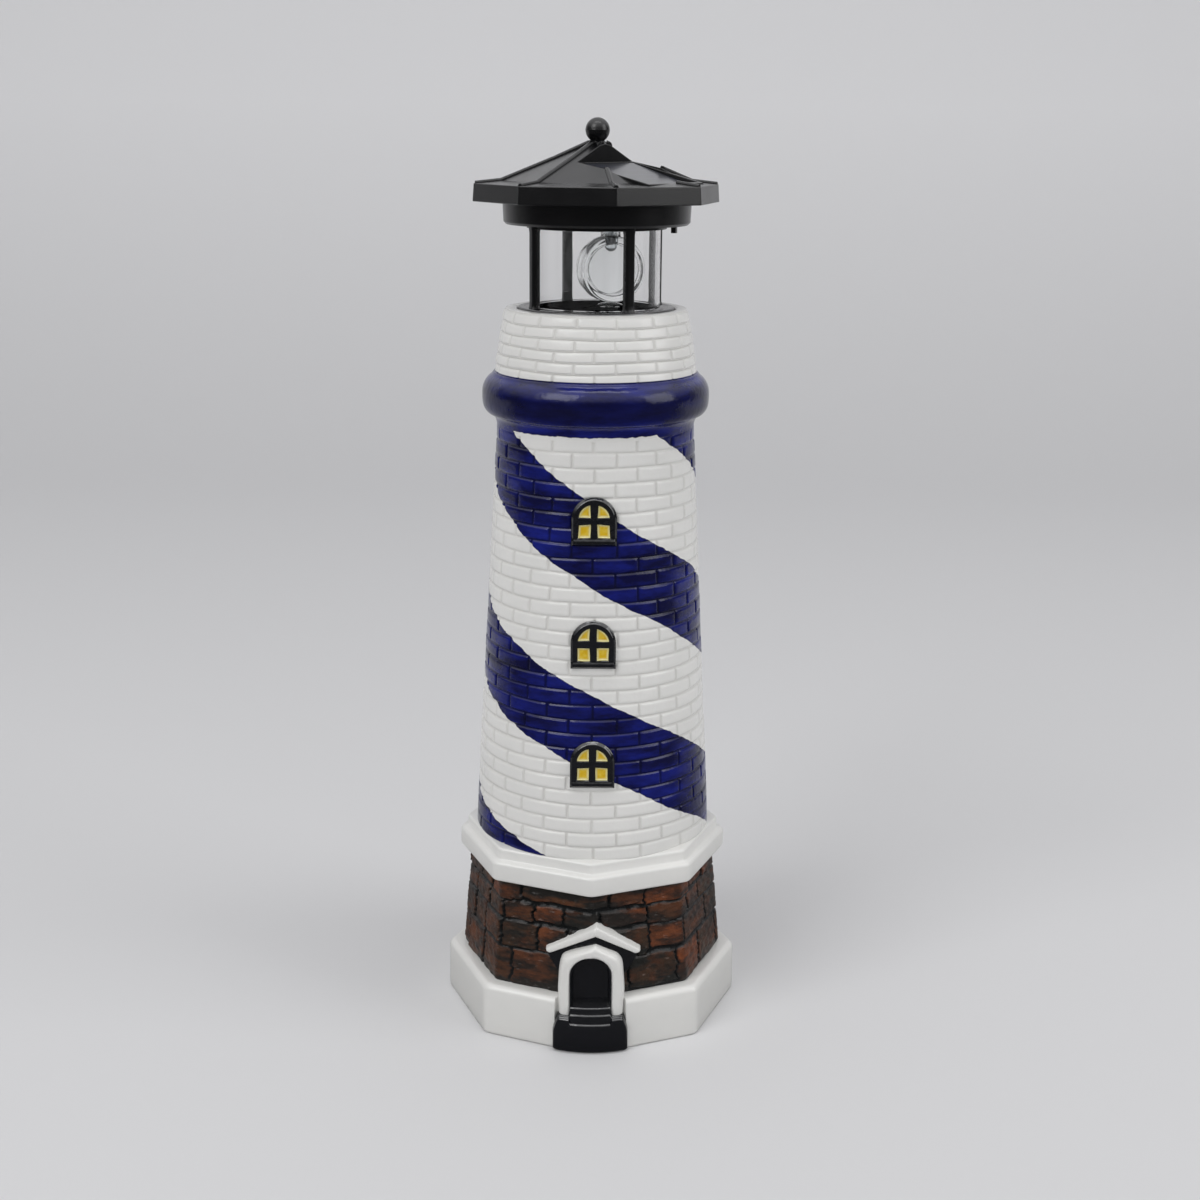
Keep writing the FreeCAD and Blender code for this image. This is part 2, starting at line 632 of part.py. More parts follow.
def make_finial():
    foot = PEAK - S.peak_drop - S.ball_stem_length
    stem = cylinder(S.ball_stem_radius, S.ball_stem_length + S.ball_radius, z=foot)
    sphere = ball(S.ball_radius, z=PEAK + S.ball_radius - S.ball_drop)
    seat_foot = PEAK - S.peak_drop - S.ball_radius
    seat = cut(cylinder(S.ball_radius * 1.2, S.ball_radius, z=seat_foot),
               cylinder(S.ball_stem_radius, S.ball_radius, z=seat_foot))
    piece(cut(fuse(stem, sphere), seat), "ball_finial")


def make_solar_panel():
    end = S.panel_start + S.panel_length
    top_start = panel_height(S.panel_start, S.panel_slope, S.panel_drop)
    top_end = panel_height(end, S.panel_slope, S.panel_drop)
    panel = panel_slab(S.panel_start, end, (top_start - S.panel_thickness, top_start),
                       (top_end - S.panel_thickness, top_end), S.panel_half_width)
    piece(panel, "solar_panel")


# ---- gear train --------------------------------------------------------------------------

DRIVE_FLOOR = DRUM_INSIDE + S.gear_lift
IDLER_FLOOR = DRIVE_FLOOR + S.gear_face + S.gear_step
BRIDGE_FLOOR = IDLER_FLOOR + S.gear_face + S.gear_step
BRIDGE_TOP = BRIDGE_FLOOR + S.bridge_thickness


def pitch_radius(teeth):
    return S.gear_module * teeth / 2.0


def idler_place():
    """The idler's axis, straight behind the optic axis at the meshing distance."""
    return S.optic_offset, pitch_radius(S.drive_teeth) + pitch_radius(S.pinion_teeth)


def motor_place():
    """The motor's axis, to the left of the idler's and a little behind it."""
    reach = pitch_radius(S.idler_teeth) + pitch_radius(S.pinion_teeth)
    angle = math.radians(float(S.motor_turn))
    idler_x, idler_y = idler_place()
    return idler_x - reach * math.cos(angle), idler_y + reach * math.sin(angle)


def involute(base, radius):
    """Angle that an involute from its base circle has turned by at a radius."""
    if radius <= base:
        return 0.0
    pressure = math.acos(base / radius)
    return math.tan(pressure) - pressure


def gear_shape(teeth, face, hole, phase):
    """A spur gear with involute flanks, standing on Z = 0, one tooth's middle at the phase angle."""
    module = float(S.gear_module)
    pitch = module * teeth / 2.0
    base = pitch * math.cos(math.radians(20.0))
    tip = pitch + module * float(S.tooth_addendum)
    root = pitch - module * float(S.tooth_dedendum)
    half_tooth = math.pi / 2.0 / teeth - float(S.tooth_backlash) / 2.0 / pitch
    flank_start = max(root, base)
    radii = [flank_start + (tip - flank_start) * step / 4.0 for step in range(5)]
    corners = []
    for tooth in range(teeth):
        middle = phase + 2.0 * math.pi * tooth / teeth
        widths = [half_tooth + involute(base, pitch) - involute(base, radius) for radius in radii]
        rising = [(root, middle - widths[0])] if root < flank_start else []
        rising += [(radius, middle - width) for radius, width in zip(radii, widths)]
        falling = [(radius, middle + width) for radius, width in zip(reversed(radii), reversed(widths))]
        falling += [(root, middle + widths[0])] if root < flank_start else []
        corners += rising + falling
    points = [Vector(radius * math.cos(angle), radius * math.sin(angle), 0) for radius, angle in corners]
    wire = Part.makePolygon(points + [points[0]])
    blank = Part.Face(wire).extrude(Vector(0, 0, face))
    return blank.cut(Part.makeCylinder(hole, face * 3.0, Vector(0, 0, -face)))


def feature(shape, label, x, y, z):
    item = DOCUMENT.addObject("Part::Feature", "Feature")
    item.Shape = shape
    place(item, x=x, y=y, z=z)
    return piece(item, label)


def make_gears():
    drive_teeth = int(SIZES["drive_teeth"])
    idler_teeth = int(SIZES["idler_teeth"])
    pinion_teeth = int(SIZES["pinion_teeth"])
    face = float(S.gear_face)
    bore = float(S.axle_radius + S.running_clearance)
    back = math.pi / 2.0
    drive = gear_shape(drive_teeth, face, float(S.neck_radius), back)
    feature(drive, "rotor_drive_gear", S.optic_offset, 0.0, DRIVE_FLOOR)

    # the idler's small gear meets the drive gear with a gap where that has a tooth
    idler_x, idler_y = idler_place()
    small = gear_shape(pinion_teeth, face, bore, -back + math.pi / pinion_teeth)
    towards_motor = math.pi - math.radians(float(S.motor_turn))
    large = gear_shape(idler_teeth, face, bore, towards_motor)
    large.translate(Vector(0, 0, face + float(S.gear_step)))
    hub = Part.makeCylinder(float(pitch_radius(S.pinion_teeth)) * 0.7, float(S.gear_step) + 0.2,
                            Vector(0, 0, face - 0.1))
    hub = hub.cut(Part.makeCylinder(bore, face * 3.0))
    feature(small.fuse([hub, large]).removeSplitter(), "reduction_gear", idler_x, idler_y, DRIVE_FLOOR)

    motor_x, motor_y = motor_place()
    meeting = towards_motor + math.pi + math.pi / pinion_teeth
    pinion = gear_shape(pinion_teeth, face, float(S.axle_radius), meeting)
    feature(pinion, "motor_pinion", motor_x, motor_y, IDLER_FLOOR)


def make_gear_axle():
    x, y = idler_place()
    foot = DRUM_INSIDE - S.drum_floor * 0.6
    piece(cylinder(S.axle_radius, BRIDGE_TOP - foot, x=x, y=y, z=foot), "gear_axle")


def make_motor():
    x, y = motor_place()
    top = BRIDGE_TOP + S.motor_height
    inner = S.motor_radius - S.motor_wall
    shaft_hole = S.axle_radius + S.running_clearance
    can = turned([
        (shaft_hole, BRIDGE_TOP), (S.motor_radius, BRIDGE_TOP), (S.motor_radius, top), (inner, top),
        (inner, BRIDGE_TOP + S.motor_wall), (shaft_hole, BRIDGE_TOP + S.motor_wall),
    ], x=x, y=y)
    piece(can, "motor_can")
    cap = turned([
        (0.0, top - 0.6), (inner, top - 0.6), (inner, top), (S.motor_radius, top),
        (S.motor_radius, top + S.end_cap_height * 0.6), (S.motor_radius - 1.0, top + S.end_cap_height),
        (0.0, top + S.end_cap_height),
    ], x=x, y=y)
    piece(cap, "motor_end_cap")
    armature_foot = BRIDGE_TOP + S.motor_wall + 0.3
    armature_top = top - 0.6 - 0.3
    armature = cut(cylinder(inner - S.armature_clearance, armature_top - armature_foot,
                            x=x, y=y, z=armature_foot),
                   cylinder(S.axle_radius, S.motor_height * 2.0, x=x, y=y, z=BRIDGE_TOP))
    piece(armature, "motor_armature")
    shaft_foot = IDLER_FLOOR - 0.2
    piece(cylinder(S.axle_radius, armature_top + 0.2 - shaft_foot, x=x, y=y, z=shaft_foot), "motor_shaft")


def bridge_legs():
    """Three legs that clear both gears."""
    idler_x, idler_y = idler_place()
    motor_x, motor_y = motor_place()
    beside_gears = pitch_radius(S.drive_teeth) + S.gear_module * 2.0 + S.leg_radius
    beside_motor = S.motor_radius + S.screw_head_radius + 0.4
    beside_idler = pitch_radius(S.idler_teeth) + S.gear_module + S.leg_radius + 0.6
    return [(S.optic_offset - beside_gears * 0.985, beside_gears * 0.17),
            (motor_x - beside_motor * 0.88, motor_y + beside_motor * 0.475),
            (idler_x + beside_idler * 0.49, idler_y + beside_idler * 0.872)]


def make_bridge():
    near_leg, motor_leg, idler_leg = bridge_legs()
    margin = S.leg_radius
    front = -(S.stem_radius + margin)
    right = idler_leg[0] + margin
    back = idler_leg[1] + margin
    left = motor_leg[0] - margin
    corners = [
        (near_leg[0] - margin * 0.6, front), (right, front), (right, back), (left, back),
        (left, motor_leg[1] - margin * 1.4), (near_leg[0] - margin, near_leg[1] + margin),
    ]
    deck = plate(corners, BRIDGE_FLOOR, S.bridge_thickness)
    legs = [cylinder(S.leg_radius, BRIDGE_FLOOR - DRUM_INSIDE, x=x, y=y, z=DRUM_INSIDE)
            for x, y in bridge_legs()]
    idler_x, idler_y = idler_place()
    motor_x, motor_y = motor_place()
    through = S.bridge_thickness * 3.0
    foot = BRIDGE_FLOOR - S.bridge_thickness
    holes = [
        cylinder(S.axle_radius, through, x=idler_x, y=idler_y, z=foot),
        cylinder(S.axle_radius * 2.0, through, x=motor_x, y=motor_y, z=foot),
        cylinder(S.stem_radius, through, x=S.optic_offset, z=foot),
    ]
    for x, y in bridge_legs():
        holes.append(cylinder(S.screw_radius, S.drum_height * 2.0, x=x, y=y, z=DRUM_INSIDE - 1.0))
    piece(cut(fuse(deck, *legs), *holes), "gear_bridge")
    screws = []
    for x, y in bridge_legs():
        foot = DRUM_INSIDE - S.drum_floor * 0.6
        shank = cylinder(S.screw_radius, BRIDGE_TOP - foot, x=x, y=y, z=foot)
        screws.append(fuse(shank, cylinder(S.screw_head_radius, S.screw_head, x=x, y=y, z=BRIDGE_TOP)))
    piece(fuse(*screws), "bridge_screws")


# ---- rotor and lamp -------------------------------------------------------------------------

RING_MIDDLE = DISC_TOP + S.ring_height_above


def make_rotor():
    """The clear ring that turns about the lamp, its neck up through the drum and its foot pin."""
    tilt = Vector(1, 0, 0)
    half = S.ring_width / 2.0
    ring = cylinder(S.ring_outer_radius, S.ring_width, y=half, z=RING_MIDDLE, turn=90.0, axis=tilt)
    hole = cylinder(S.ring_inner_radius, S.ring_width * 2.0, y=S.ring_width, z=RING_MIDDLE,
                    turn=90.0, axis=tilt)
    neck_top = DRIVE_FLOOR + S.gear_face
    neck_foot = RING_MIDDLE + S.ring_inner_radius
    neck = cylinder(S.neck_radius, neck_top - neck_foot, z=neck_foot)
    bore = cylinder(S.neck_hole, S.ring_outer_radius * 3.0, z=RING_MIDDLE)
    shoulder = DISC_TOP + S.bush_flange + 0.15
    foot = cylinder(S.rotor_pin_radius * 1.7, RING_MIDDLE - S.ring_outer_radius + 0.8 - shoulder, z=shoulder)
    pin = cylinder(S.rotor_pin_radius, S.rotor_pin_length + 1.0, z=shoulder - S.rotor_pin_length)
    body = fuse(cut(fuse(ring, neck), hole, bore), foot, pin)
    rotor = cut(body, *rotor_lens_discs())
    place(rotor, x=S.optic_offset, turn=S.rotor_turn.value)
    piece(rotor, "rotor_ring")


def rotor_lens_discs():
    """Blanks for the two lens discs, or the seats they sit in."""
    discs = []
    edge = S.ring_width / 2.0 - S.lens_inset
    for front in (edge, -edge + S.lens_thickness):
        discs.append(cylinder(S.ring_inner_radius + 0.6, S.lens_thickness, y=front,
                              z=RING_MIDDLE, turn=90.0, axis=Vector(1, 0, 0)))
    return discs


def make_lenses():
    """Two bull's-eye discs set in the ring, each crowned on its outer face."""
    rear_blank, front_blank = rotor_lens_discs()
    radius = S.ring_inner_radius.value
    crown = S.lens_crown.value
    sphere_radius = (radius * radius + crown * crown) / 2.0 / crown
    outer = S.ring_width.value / 2.0 - S.lens_inset.value
    for name, blank, side in (("front_lens", front_blank, -1.0), ("rear_lens", rear_blank, 1.0)):
        dome = ball(sphere_radius, y=side * (outer + crown - sphere_radius), z=RING_MIDDLE)
        keep = cylinder(radius - 0.4, crown + 0.2, y=outer + crown + 0.1 if side > 0 else -outer + 0.1,
                        z=RING_MIDDLE, turn=90.0, axis=Vector(1, 0, 0))
        common = DOCUMENT.addObject("Part::MultiCommon", "Crown")
        common.Shapes = [dome, keep]
        lens = fuse(blank, common)
        place(lens, x=S.optic_offset, turn=S.rotor_turn.value)
        piece(lens, name)


def make_lamp():
    """The light-emitting diode inside the ring, hung from a stem through the rotor's neck."""
    top = RING_MIDDLE + S.ring_outer_radius + 2.2
    dome_middle = top - S.led_length + S.led_radius
    lamp = fuse(cylinder(S.led_radius, S.led_length - S.led_radius, x=S.optic_offset, z=dome_middle),
                ball(S.led_radius, x=S.optic_offset, z=dome_middle),
                cylinder(S.led_flange_radius, S.led_flange, x=S.optic_offset, z=top - S.led_flange))
    piece(lamp, "led")
    stem = fuse(cylinder(S.stem_radius, BRIDGE_TOP - top, x=S.optic_offset, z=top),
                cylinder(S.stem_flange_radius, S.stem_flange, x=S.optic_offset, z=BRIDGE_TOP))
    piece(stem, "led_stem")


# ---- battery, board and switch ----------------------------------------------------------------

def battery_frame():
    """Where the cell lies: its centre and the turn that puts its length along X."""
    x, y = around(S.cell_circle, float(S.cell_turn))
    return dict(x=x, y=y, turn=float(S.cell_turn))


def lying_cylinder(radius, start, length, middle):
    return cylinder(radius, length, x=start, z=middle, turn=90.0, axis=Vector(0, 1, 0))


def make_battery():
    where = battery_frame()
    middle = DRUM_INSIDE + S.holder_floor + S.cell_radius
    half = S.cell_length / 2.0
    cell = fuse(lying_cylinder(S.cell_radius, -half, S.cell_length, middle),
                lying_cylinder(S.cell_nub_radius, half - 0.5, S.cell_nub_length + 0.5, middle))
    piece(place(cell, **where), "battery_cell")

    plus = half + S.cell_nub_length
    contact_foot = DRUM_INSIDE + S.holder_floor
    for name, start in (("battery_contact_plus", plus), ("battery_contact_minus", -half - S.contact_thickness)):
        strip = plate([(start, -(S.contact_width / 2.0)), (start + S.contact_thickness, -(S.contact_width / 2.0)),
                       (start + S.contact_thickness, S.contact_width / 2.0), (start, S.contact_width / 2.0)],
                      contact_foot, S.cell_radius * 2.0)
        piece(place(strip, **where), name)

    inside_plus = plus + S.contact_thickness
    inside_minus = -half - S.contact_thickness
    half_width = S.cell_radius + S.holder_wall
    left, right = inside_minus - S.holder_wall, inside_plus + S.holder_wall
    tray = plate([(left, -half_width), (right, -half_width), (right, half_width), (left, half_width)],
                 DRUM_INSIDE, S.holder_height)
    trough = lying_cylinder(S.cell_radius + 0.02, -half, S.cell_length + S.cell_nub_length, middle)
    above = plate([(-half, -S.cell_radius), (plus, -S.cell_radius), (plus, S.cell_radius),
                   (-half, S.cell_radius)], middle, S.holder_height)
    pockets = [plate([(start, -(S.contact_width / 2.0)), (end, -(S.contact_width / 2.0)),
                      (end, S.contact_width / 2.0), (start, S.contact_width / 2.0)],
                     contact_foot, S.holder_height)
               for start, end in ((plus, inside_plus), (inside_minus, -half))]
    piece(place(cut(tray, trough, above, *pockets), **where), "battery_holder")


def board_centre():
    angle = math.radians(float(S.panel_turn))
    x, y = around(S.board_circle, float(S.panel_turn))
    return x + S.board_shift * math.cos(angle), y + S.board_shift * math.sin(angle)


def board_screw_offsets():
    angle = math.radians(float(S.panel_turn))
    reach = S.board_length / 2.0 - S.screw_head_radius * 1.2
    return [(reach * (side * math.cos(angle)), reach * (side * math.sin(angle))) for side in (-1.0, 1.0)]


def make_board():
    x, y = board_centre()
    foot = DRUM_INSIDE + S.board_lift
    board = centred_box(S.board_length, S.board_width, S.board_thickness, foot,
                        x=x, y=y, turn=float(S.panel_turn))
    holes = [cylinder(S.screw_radius, S.board_thickness * 3.0, x=x + dx, y=y + dy, z=foot - 1.0)
             for dx, dy in board_screw_offsets()]
    piece(cut(board, *holes), "circuit_board")
    screws = []
    top = foot + S.board_thickness
    for dx, dy in board_screw_offsets():
        shank = cylinder(S.screw_radius, top - DRUM_INSIDE - 0.2, x=x + dx, y=y + dy, z=DRUM_INSIDE + 0.2)
        screws.append(fuse(shank, cylinder(S.screw_head_radius, S.screw_head, x=x + dx, y=y + dy, z=top)))
    piece(fuse(*screws), "board_screws")


def shifted(length, width, shift):
    """Corners of a rectangle centred a shift along X."""
    half_length, half_width = length / 2.0, width / 2.0
    return [(-half_length + shift, -half_width), (half_length + shift, -half_width),
            (half_length + shift, half_width), (-half_length + shift, half_width)]


def switch_slot():
    """The slot in the drum's floor that the switch's knob slides in."""
    x, y = around(S.switch_circle, float(S.switch_turn))
    return centred_box(S.slider_length + S.switch_travel + 0.6, S.slider_width + 0.4, S.drum_floor * 3.0,
                       DRUM_FOOT - S.drum_floor, x=x, y=y, turn=float(S.switch_turn))


def make_switch():
    x, y = around(S.switch_circle, float(S.switch_turn))
    where = dict(x=x, y=y, turn=float(S.switch_turn))
    wall = S.switch_width / 2.0 - S.slider_width / 2.0 - 0.1
    case = centred_box(S.switch_length, S.switch_width, S.switch_height, DRUM_INSIDE)
    room = centred_box(S.slider_length * 1.6 + S.switch_travel + 0.4, S.switch_width - wall * 2.0,
                       S.switch_height - 0.8, DRUM_INSIDE - 0.1)
    piece(place(cut(case, room), **where), "switch_case")
    travel = S.switch_travel / 2.0
    head = plate(shifted(S.slider_length * 1.6, S.slider_width, -travel), DRUM_INSIDE + 0.1,
                 S.switch_height - 1.2)
    knob = plate(shifted(S.slider_length, S.slider_width, -travel), DRUM_INSIDE - S.slider_drop,
                 S.slider_drop + 0.2)
    piece(place(fuse(head, knob), **where), "switch_slider")


# ---- build, test and write ----------------------------------------------------------------------

make_tower()
make_lantern_base()
make_pivot_bush()
make_posts()
make_clear_tube()
make_floor_plate()
make_drum()
make_roof()
make_finial()
make_solar_panel()
make_gears()
make_gear_axle()
make_motor()
make_bridge()
make_rotor()
make_lenses()
make_lamp()
make_battery()
make_board()
make_switch()
DOCUMENT.recompute()

for item in DOCUMENT.Objects:
    if "Invalid" in item.State or "Error" in item.State:
        raise RuntimeError("%s failed: %s" % (item.Name, item.State))
for item in PIECES:
    if item.Shape.isNull() or not item.Shape.isValid() or not item.Shape.Solids:
        raise RuntimeError(item.Label + " has no valid solid")

os.makedirs("parts", exist_ok=True)
for item in PIECES:
    item.Shape.exportStep("parts/%s.step" % item.Label)
    box = item.Shape.BoundBox
    print("%-22s solids %d  volume %9.1f  x %6.1f..%6.1f  y %6.1f..%6.1f  z %6.1f..%6.1f" % (
        item.Label, len(item.Shape.Solids), item.Shape.Volume,
        box.XMin, box.XMax, box.YMin, box.YMax, box.ZMin, box.ZMax))
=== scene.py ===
import math
import random

import bmesh
import bpy
import numpy as np
from mathutils import Matrix, Vector


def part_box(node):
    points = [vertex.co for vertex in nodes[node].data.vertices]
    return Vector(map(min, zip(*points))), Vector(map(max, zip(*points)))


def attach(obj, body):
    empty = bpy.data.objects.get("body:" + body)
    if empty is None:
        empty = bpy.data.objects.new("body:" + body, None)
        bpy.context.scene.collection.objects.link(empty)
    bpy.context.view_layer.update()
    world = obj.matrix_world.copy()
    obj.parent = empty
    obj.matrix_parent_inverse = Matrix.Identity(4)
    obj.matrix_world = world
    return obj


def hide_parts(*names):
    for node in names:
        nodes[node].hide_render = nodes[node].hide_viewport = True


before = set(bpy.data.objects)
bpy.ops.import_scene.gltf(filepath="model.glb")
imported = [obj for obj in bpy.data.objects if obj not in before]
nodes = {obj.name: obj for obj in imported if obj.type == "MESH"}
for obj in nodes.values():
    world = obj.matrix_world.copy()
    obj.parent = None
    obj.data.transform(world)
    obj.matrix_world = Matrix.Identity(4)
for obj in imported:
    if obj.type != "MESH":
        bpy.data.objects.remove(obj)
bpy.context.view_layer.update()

# ---- camera, floor and light -------------------------------------------------------------------
# A small tabletop studio: white card swept up behind the ornament, a key soft box at the front
# left, a fill at the right and a narrow box overhead. Gloss mirrors a room that is bright above
# and behind, and dark where the camera stands.

scene = bpy.context.scene
scene.view_settings.view_transform = "Standard"


def linear(code, alpha=1.0):
    """An sRGB hex colour as linear RGBA."""
    channels = [int(code[start:start + 2], 16) / 255.0 for start in (1, 3, 5)]
    return (*[c / 12.92 if c <= 0.04045 else ((c + 0.055) / 1.055) ** 2.4 for c in channels], alpha)


def fill(tree, made, inputs):
    """Set or link a node's inputs, given by name or in order. A node stands for its first output."""
    for name, value in inputs.items() if isinstance(inputs, dict) else enumerate(inputs):
        if isinstance(value, bpy.types.Node):
            value = value.outputs[0]
        if isinstance(value, bpy.types.NodeSocket):
            tree.links.new(value, made.inputs[name])
        else:
            made.inputs[name].default_value = value
    return made


def node(tree, kind, inputs=(), **settings):
    """Add a shader node, such as "TexNoise" or "Math ADD", with its inputs and settings. MapRange in
    order is a value, the range it is in and the range it goes to."""
    kind, _, operation = kind.partition(" ")
    made = tree.nodes.new("ShaderNode" + kind)
    if operation:
        made.operation = operation
    for name, value in settings.items():
        setattr(made, name, value)
    return fill(tree, made, inputs)


def new_material(name):
    """An empty material: its node tree and its Principled shader."""
    material = bpy.data.materials.new(name)
    material.use_nodes = True
    return material, material.node_tree, material.node_tree.nodes["Principled BSDF"]


CAMERA_DISTANCE, CAMERA_HEIGHT, CAMERA_SIDE = 0.7147, 0.3652, 0.0025
CAMERA_PITCH, CAMERA_ROLL = math.radians(14.84), math.radians(0.5)
FOCAL_PIXELS, PHOTO_PIXELS = 1774.2, 1200.0
SENSOR = 36.0

camera_data = bpy.data.cameras.new("camera")
camera_data.sensor_width = SENSOR
camera_data.lens = FOCAL_PIXELS / PHOTO_PIXELS * SENSOR
camera = bpy.data.objects.new("camera", camera_data)
camera.location = (CAMERA_SIDE, -CAMERA_DISTANCE, CAMERA_HEIGHT)
aimed = Matrix.Rotation(math.pi / 2 - CAMERA_PITCH, 3, "X") @ Matrix.Rotation(CAMERA_ROLL, 3, "Z")
camera.rotation_euler = aimed.to_euler()
scene.collection.objects.link(camera)
scene.camera = camera


def white_card():
    """Matt white card, paler up the back wall. Gloss mirrors its unlit front end darker, and a lit
    panel high up at the back, as the roof does in the photograph."""
    material, tree, shader = new_material("white_card")
    _, y, z = node(tree, "SeparateXYZ", [node(tree, "TexCoord").outputs["Object"]]).outputs
    card = node(tree, "MixRGB", [node(tree, "MapRange", [z, 0.0, 0.4]), linear("#DBDBDC"), linear("#F0F0F1")])
    ray = node(tree, "LightPath").outputs
    mirrored = node(tree, "Math SUBTRACT", [ray["Is Glossy Ray"], ray["Is Transmission Ray"]], use_clamp=True)
    in_front = node(tree, "MapRange", [y, -0.05, 0.3, 1.0, 0.0])
    dark = node(tree, "Math MULTIPLY", [mirrored, in_front])
    high_up = node(tree, "MapRange", [z, 0.7, 1.6, 0.0, 0.42])
    fill(tree, shader, {
        "Base Color": node(tree, "MixRGB", [dark, card, linear("#4A4A4C")]),
        "Emission Strength": node(tree, "Math MULTIPLY", [mirrored, high_up]),
        "Emission Color": linear("#F4F4F6"), "Roughness": 0.9})
    return material


def make_sweep():
    """Floor that curves up into a back wall."""
    half_width, front, back, radius, top = 3.0, -2.0, 1.1, 0.9, 3.2
    profile = [(front, 0.0), (back, 0.0)]
    profile += [(back + radius * math.sin(a), radius * (1 - math.cos(a)))
                for a in np.linspace(0.1, math.pi / 2, 24)]
    profile.append((back + radius, top))
    vertices = [(x, y, z) for y, z in profile for x in (-half_width, half_width)]
    faces = [(2 * i, 2 * i + 1, 2 * i + 3, 2 * i + 2) for i in range(len(profile) - 1)]
    mesh = bpy.data.meshes.new("sweep")
    mesh.from_pydata(vertices, [], faces)
    mesh.shade_smooth()
    mesh.materials.append(white_card())
    sweep = bpy.data.objects.new("sweep", mesh)
    scene.collection.objects.link(sweep)


def soft_box(name, place, aim_height, size, power):
    """A rectangular light at a place, aimed at a height on the ornament's axis."""
    light = bpy.data.lights.new(name, "AREA")
    light.shape = "RECTANGLE"
    light.size, light.size_y = size
    light.energy = power
    lamp = bpy.data.objects.new(name, light)
    lamp.location = place
    aim = Vector((0, 0, aim_height)) - Vector(place)
    lamp.rotation_euler = aim.to_track_quat("-Z", "Y").to_euler()
    scene.collection.objects.link(lamp)


def studio_room():
    """Even light all round. The eye, also through clear plastic, sees a pale backdrop, and gloss
    mirrors a room that is bright overhead and behind and dark round the camera."""
    room = bpy.data.worlds.new("studio")
    room.use_nodes = True
    tree = room.node_tree
    even = fill(tree, tree.nodes["Background"], {"Color": linear("#DADADC"), "Strength": 0.66})
    ray = node(tree, "LightPath").outputs
    straight = node(tree, "Math MAXIMUM", [ray["Is Camera Ray"], ray["Is Transmission Ray"]])
    pale = node(tree, "Background", {"Color": linear("#CFCFD1"), "Strength": 1.0})
    _, y, z = node(tree, "SeparateXYZ", [node(tree, "TexCoord").outputs["Generated"]]).outputs
    overhead = node(tree, "MapRange", [z, 0.1, 0.85, 0.07, 1.6], interpolation_type="SMOOTHSTEP")
    behind = node(tree, "MapRange", [y, 0.3, 0.8, 0.07, 0.85], interpolation_type="SMOOTHSTEP")
    brighter = node(tree, "Math MAXIMUM", [overhead, behind])
    walls = node(tree, "Background", {"Color": linear("#F4F4F6"), "Strength": brighter})
    mirrored = node(tree, "MixShader", [ray["Is Glossy Ray"], even, walls])
    fill(tree, tree.nodes["World Output"], [node(tree, "MixShader", [straight, mirrored, pale])])
    return room


make_sweep()
soft_box("key_soft_box", (-1.1, -1.2, 1.5), 0.18, (1.1, 1.1), 13.0)
soft_box("fill_soft_box", (1.6, -0.55, 1.0), 0.18, (1.0, 1.2), 8.5)
soft_box("top_soft_box", (0.0, -0.3, 1.8), 0.1, (1.3, 0.3), 4.8)
scene.world = studio_room()

# ---- tower: foot -------------------------------------------------------------------------------
# The foot of the casting: eight flat sides under a thick white glaze that has rounded every
# corner. Slip-cast earthenware, so the wall is about as thick everywhere and open below.

MM = 0.001
FULL_TURN = 2.0 * math.pi
SIDES = 8
STOREY_COLUMNS = 40 * SIDES
CREASE = math.radians(42.0)
CASTING = ("tower", ["tower_casting"], "glazed_earthenware")

casting_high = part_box("tower_casting")[1]
NECK_HEAD = casting_high.z / MM
FOOT_RADIUS = casting_high.x / MM
WALL = 5.0


def add_piece(name, mesh, material, body, stands_for, finish_slot, smooth=True):
    """Link a mesh as a piece of the object, riding on a body in place of CAD nodes."""
    if smooth:
        mesh.shade_smooth()
        mesh.set_sharp_from_angle(angle=CREASE)
    mesh.name = name
    mesh.materials.append(material)
    made = bpy.data.objects.new(name, mesh)
    scene.collection.objects.link(made)
    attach(made, body)
    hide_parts(*stands_for)


def ring_mesh(rings, closed=True, attributes=None):
    """A closed mesh through rings of points in millimetres, joined in order and round each ring.
    The last ring joins the first, or where closed is false each has a cap."""
    stack = np.asarray(rings, dtype=float) * MM
    levels, columns = stack.shape[:2]
    index = np.arange(levels * columns).reshape(levels, columns)
    upper = np.roll(index, -1, axis=0) if closed else index[1:]
    lower = index if closed else index[:-1]
    faces = np.stack([lower, np.roll(lower, -1, axis=1), np.roll(upper, -1, axis=1), upper], axis=-1)
    faces = faces.reshape(-1, 4).tolist()
    if not closed:
        faces += [index[0, ::-1].tolist(), index[-1].tolist()]
    mesh = bpy.data.meshes.new("rings")
    mesh.from_pydata(stack.reshape(-1, 3).tolist(), [], faces)
    outward = bmesh.new()
    outward.from_mesh(mesh)
    bmesh.ops.recalc_face_normals(outward, faces=outward.faces)
    outward.to_mesh(mesh)
    outward.free()
    for attribute, values in (attributes or {}).items():
        layer = mesh.attributes.new(attribute, "FLOAT", "POINT")
        layer.data.foreach_set("value", np.asarray(values, dtype=np.float32).ravel())
    return mesh


def around(steps):
    """Even angles round a full turn."""
    return np.linspace(0.0, FULL_TURN, steps, endpoint=False)


def polar(radius, angle, height):
    """Points at angles from the front (-Y) towards +X, in radians."""
    return np.stack([radius * np.sin(angle), -radius * np.cos(angle), height + 0.0 * angle], axis=-1)


def octagon_radius(circumradius, angle, softness):
    """Radius of an eight-sided ring with softened corners, a corner towards the front."""
    side_middles = (np.arange(SIDES) + 0.5) * FULL_TURN / SIDES
    reach = np.maximum(np.cos(angle[..., None] - side_middles), 0.0) ** softness
    apothem = circumradius * math.cos(math.pi / SIDES)
    return apothem / reach.sum(axis=-1) ** (1.0 / softness)


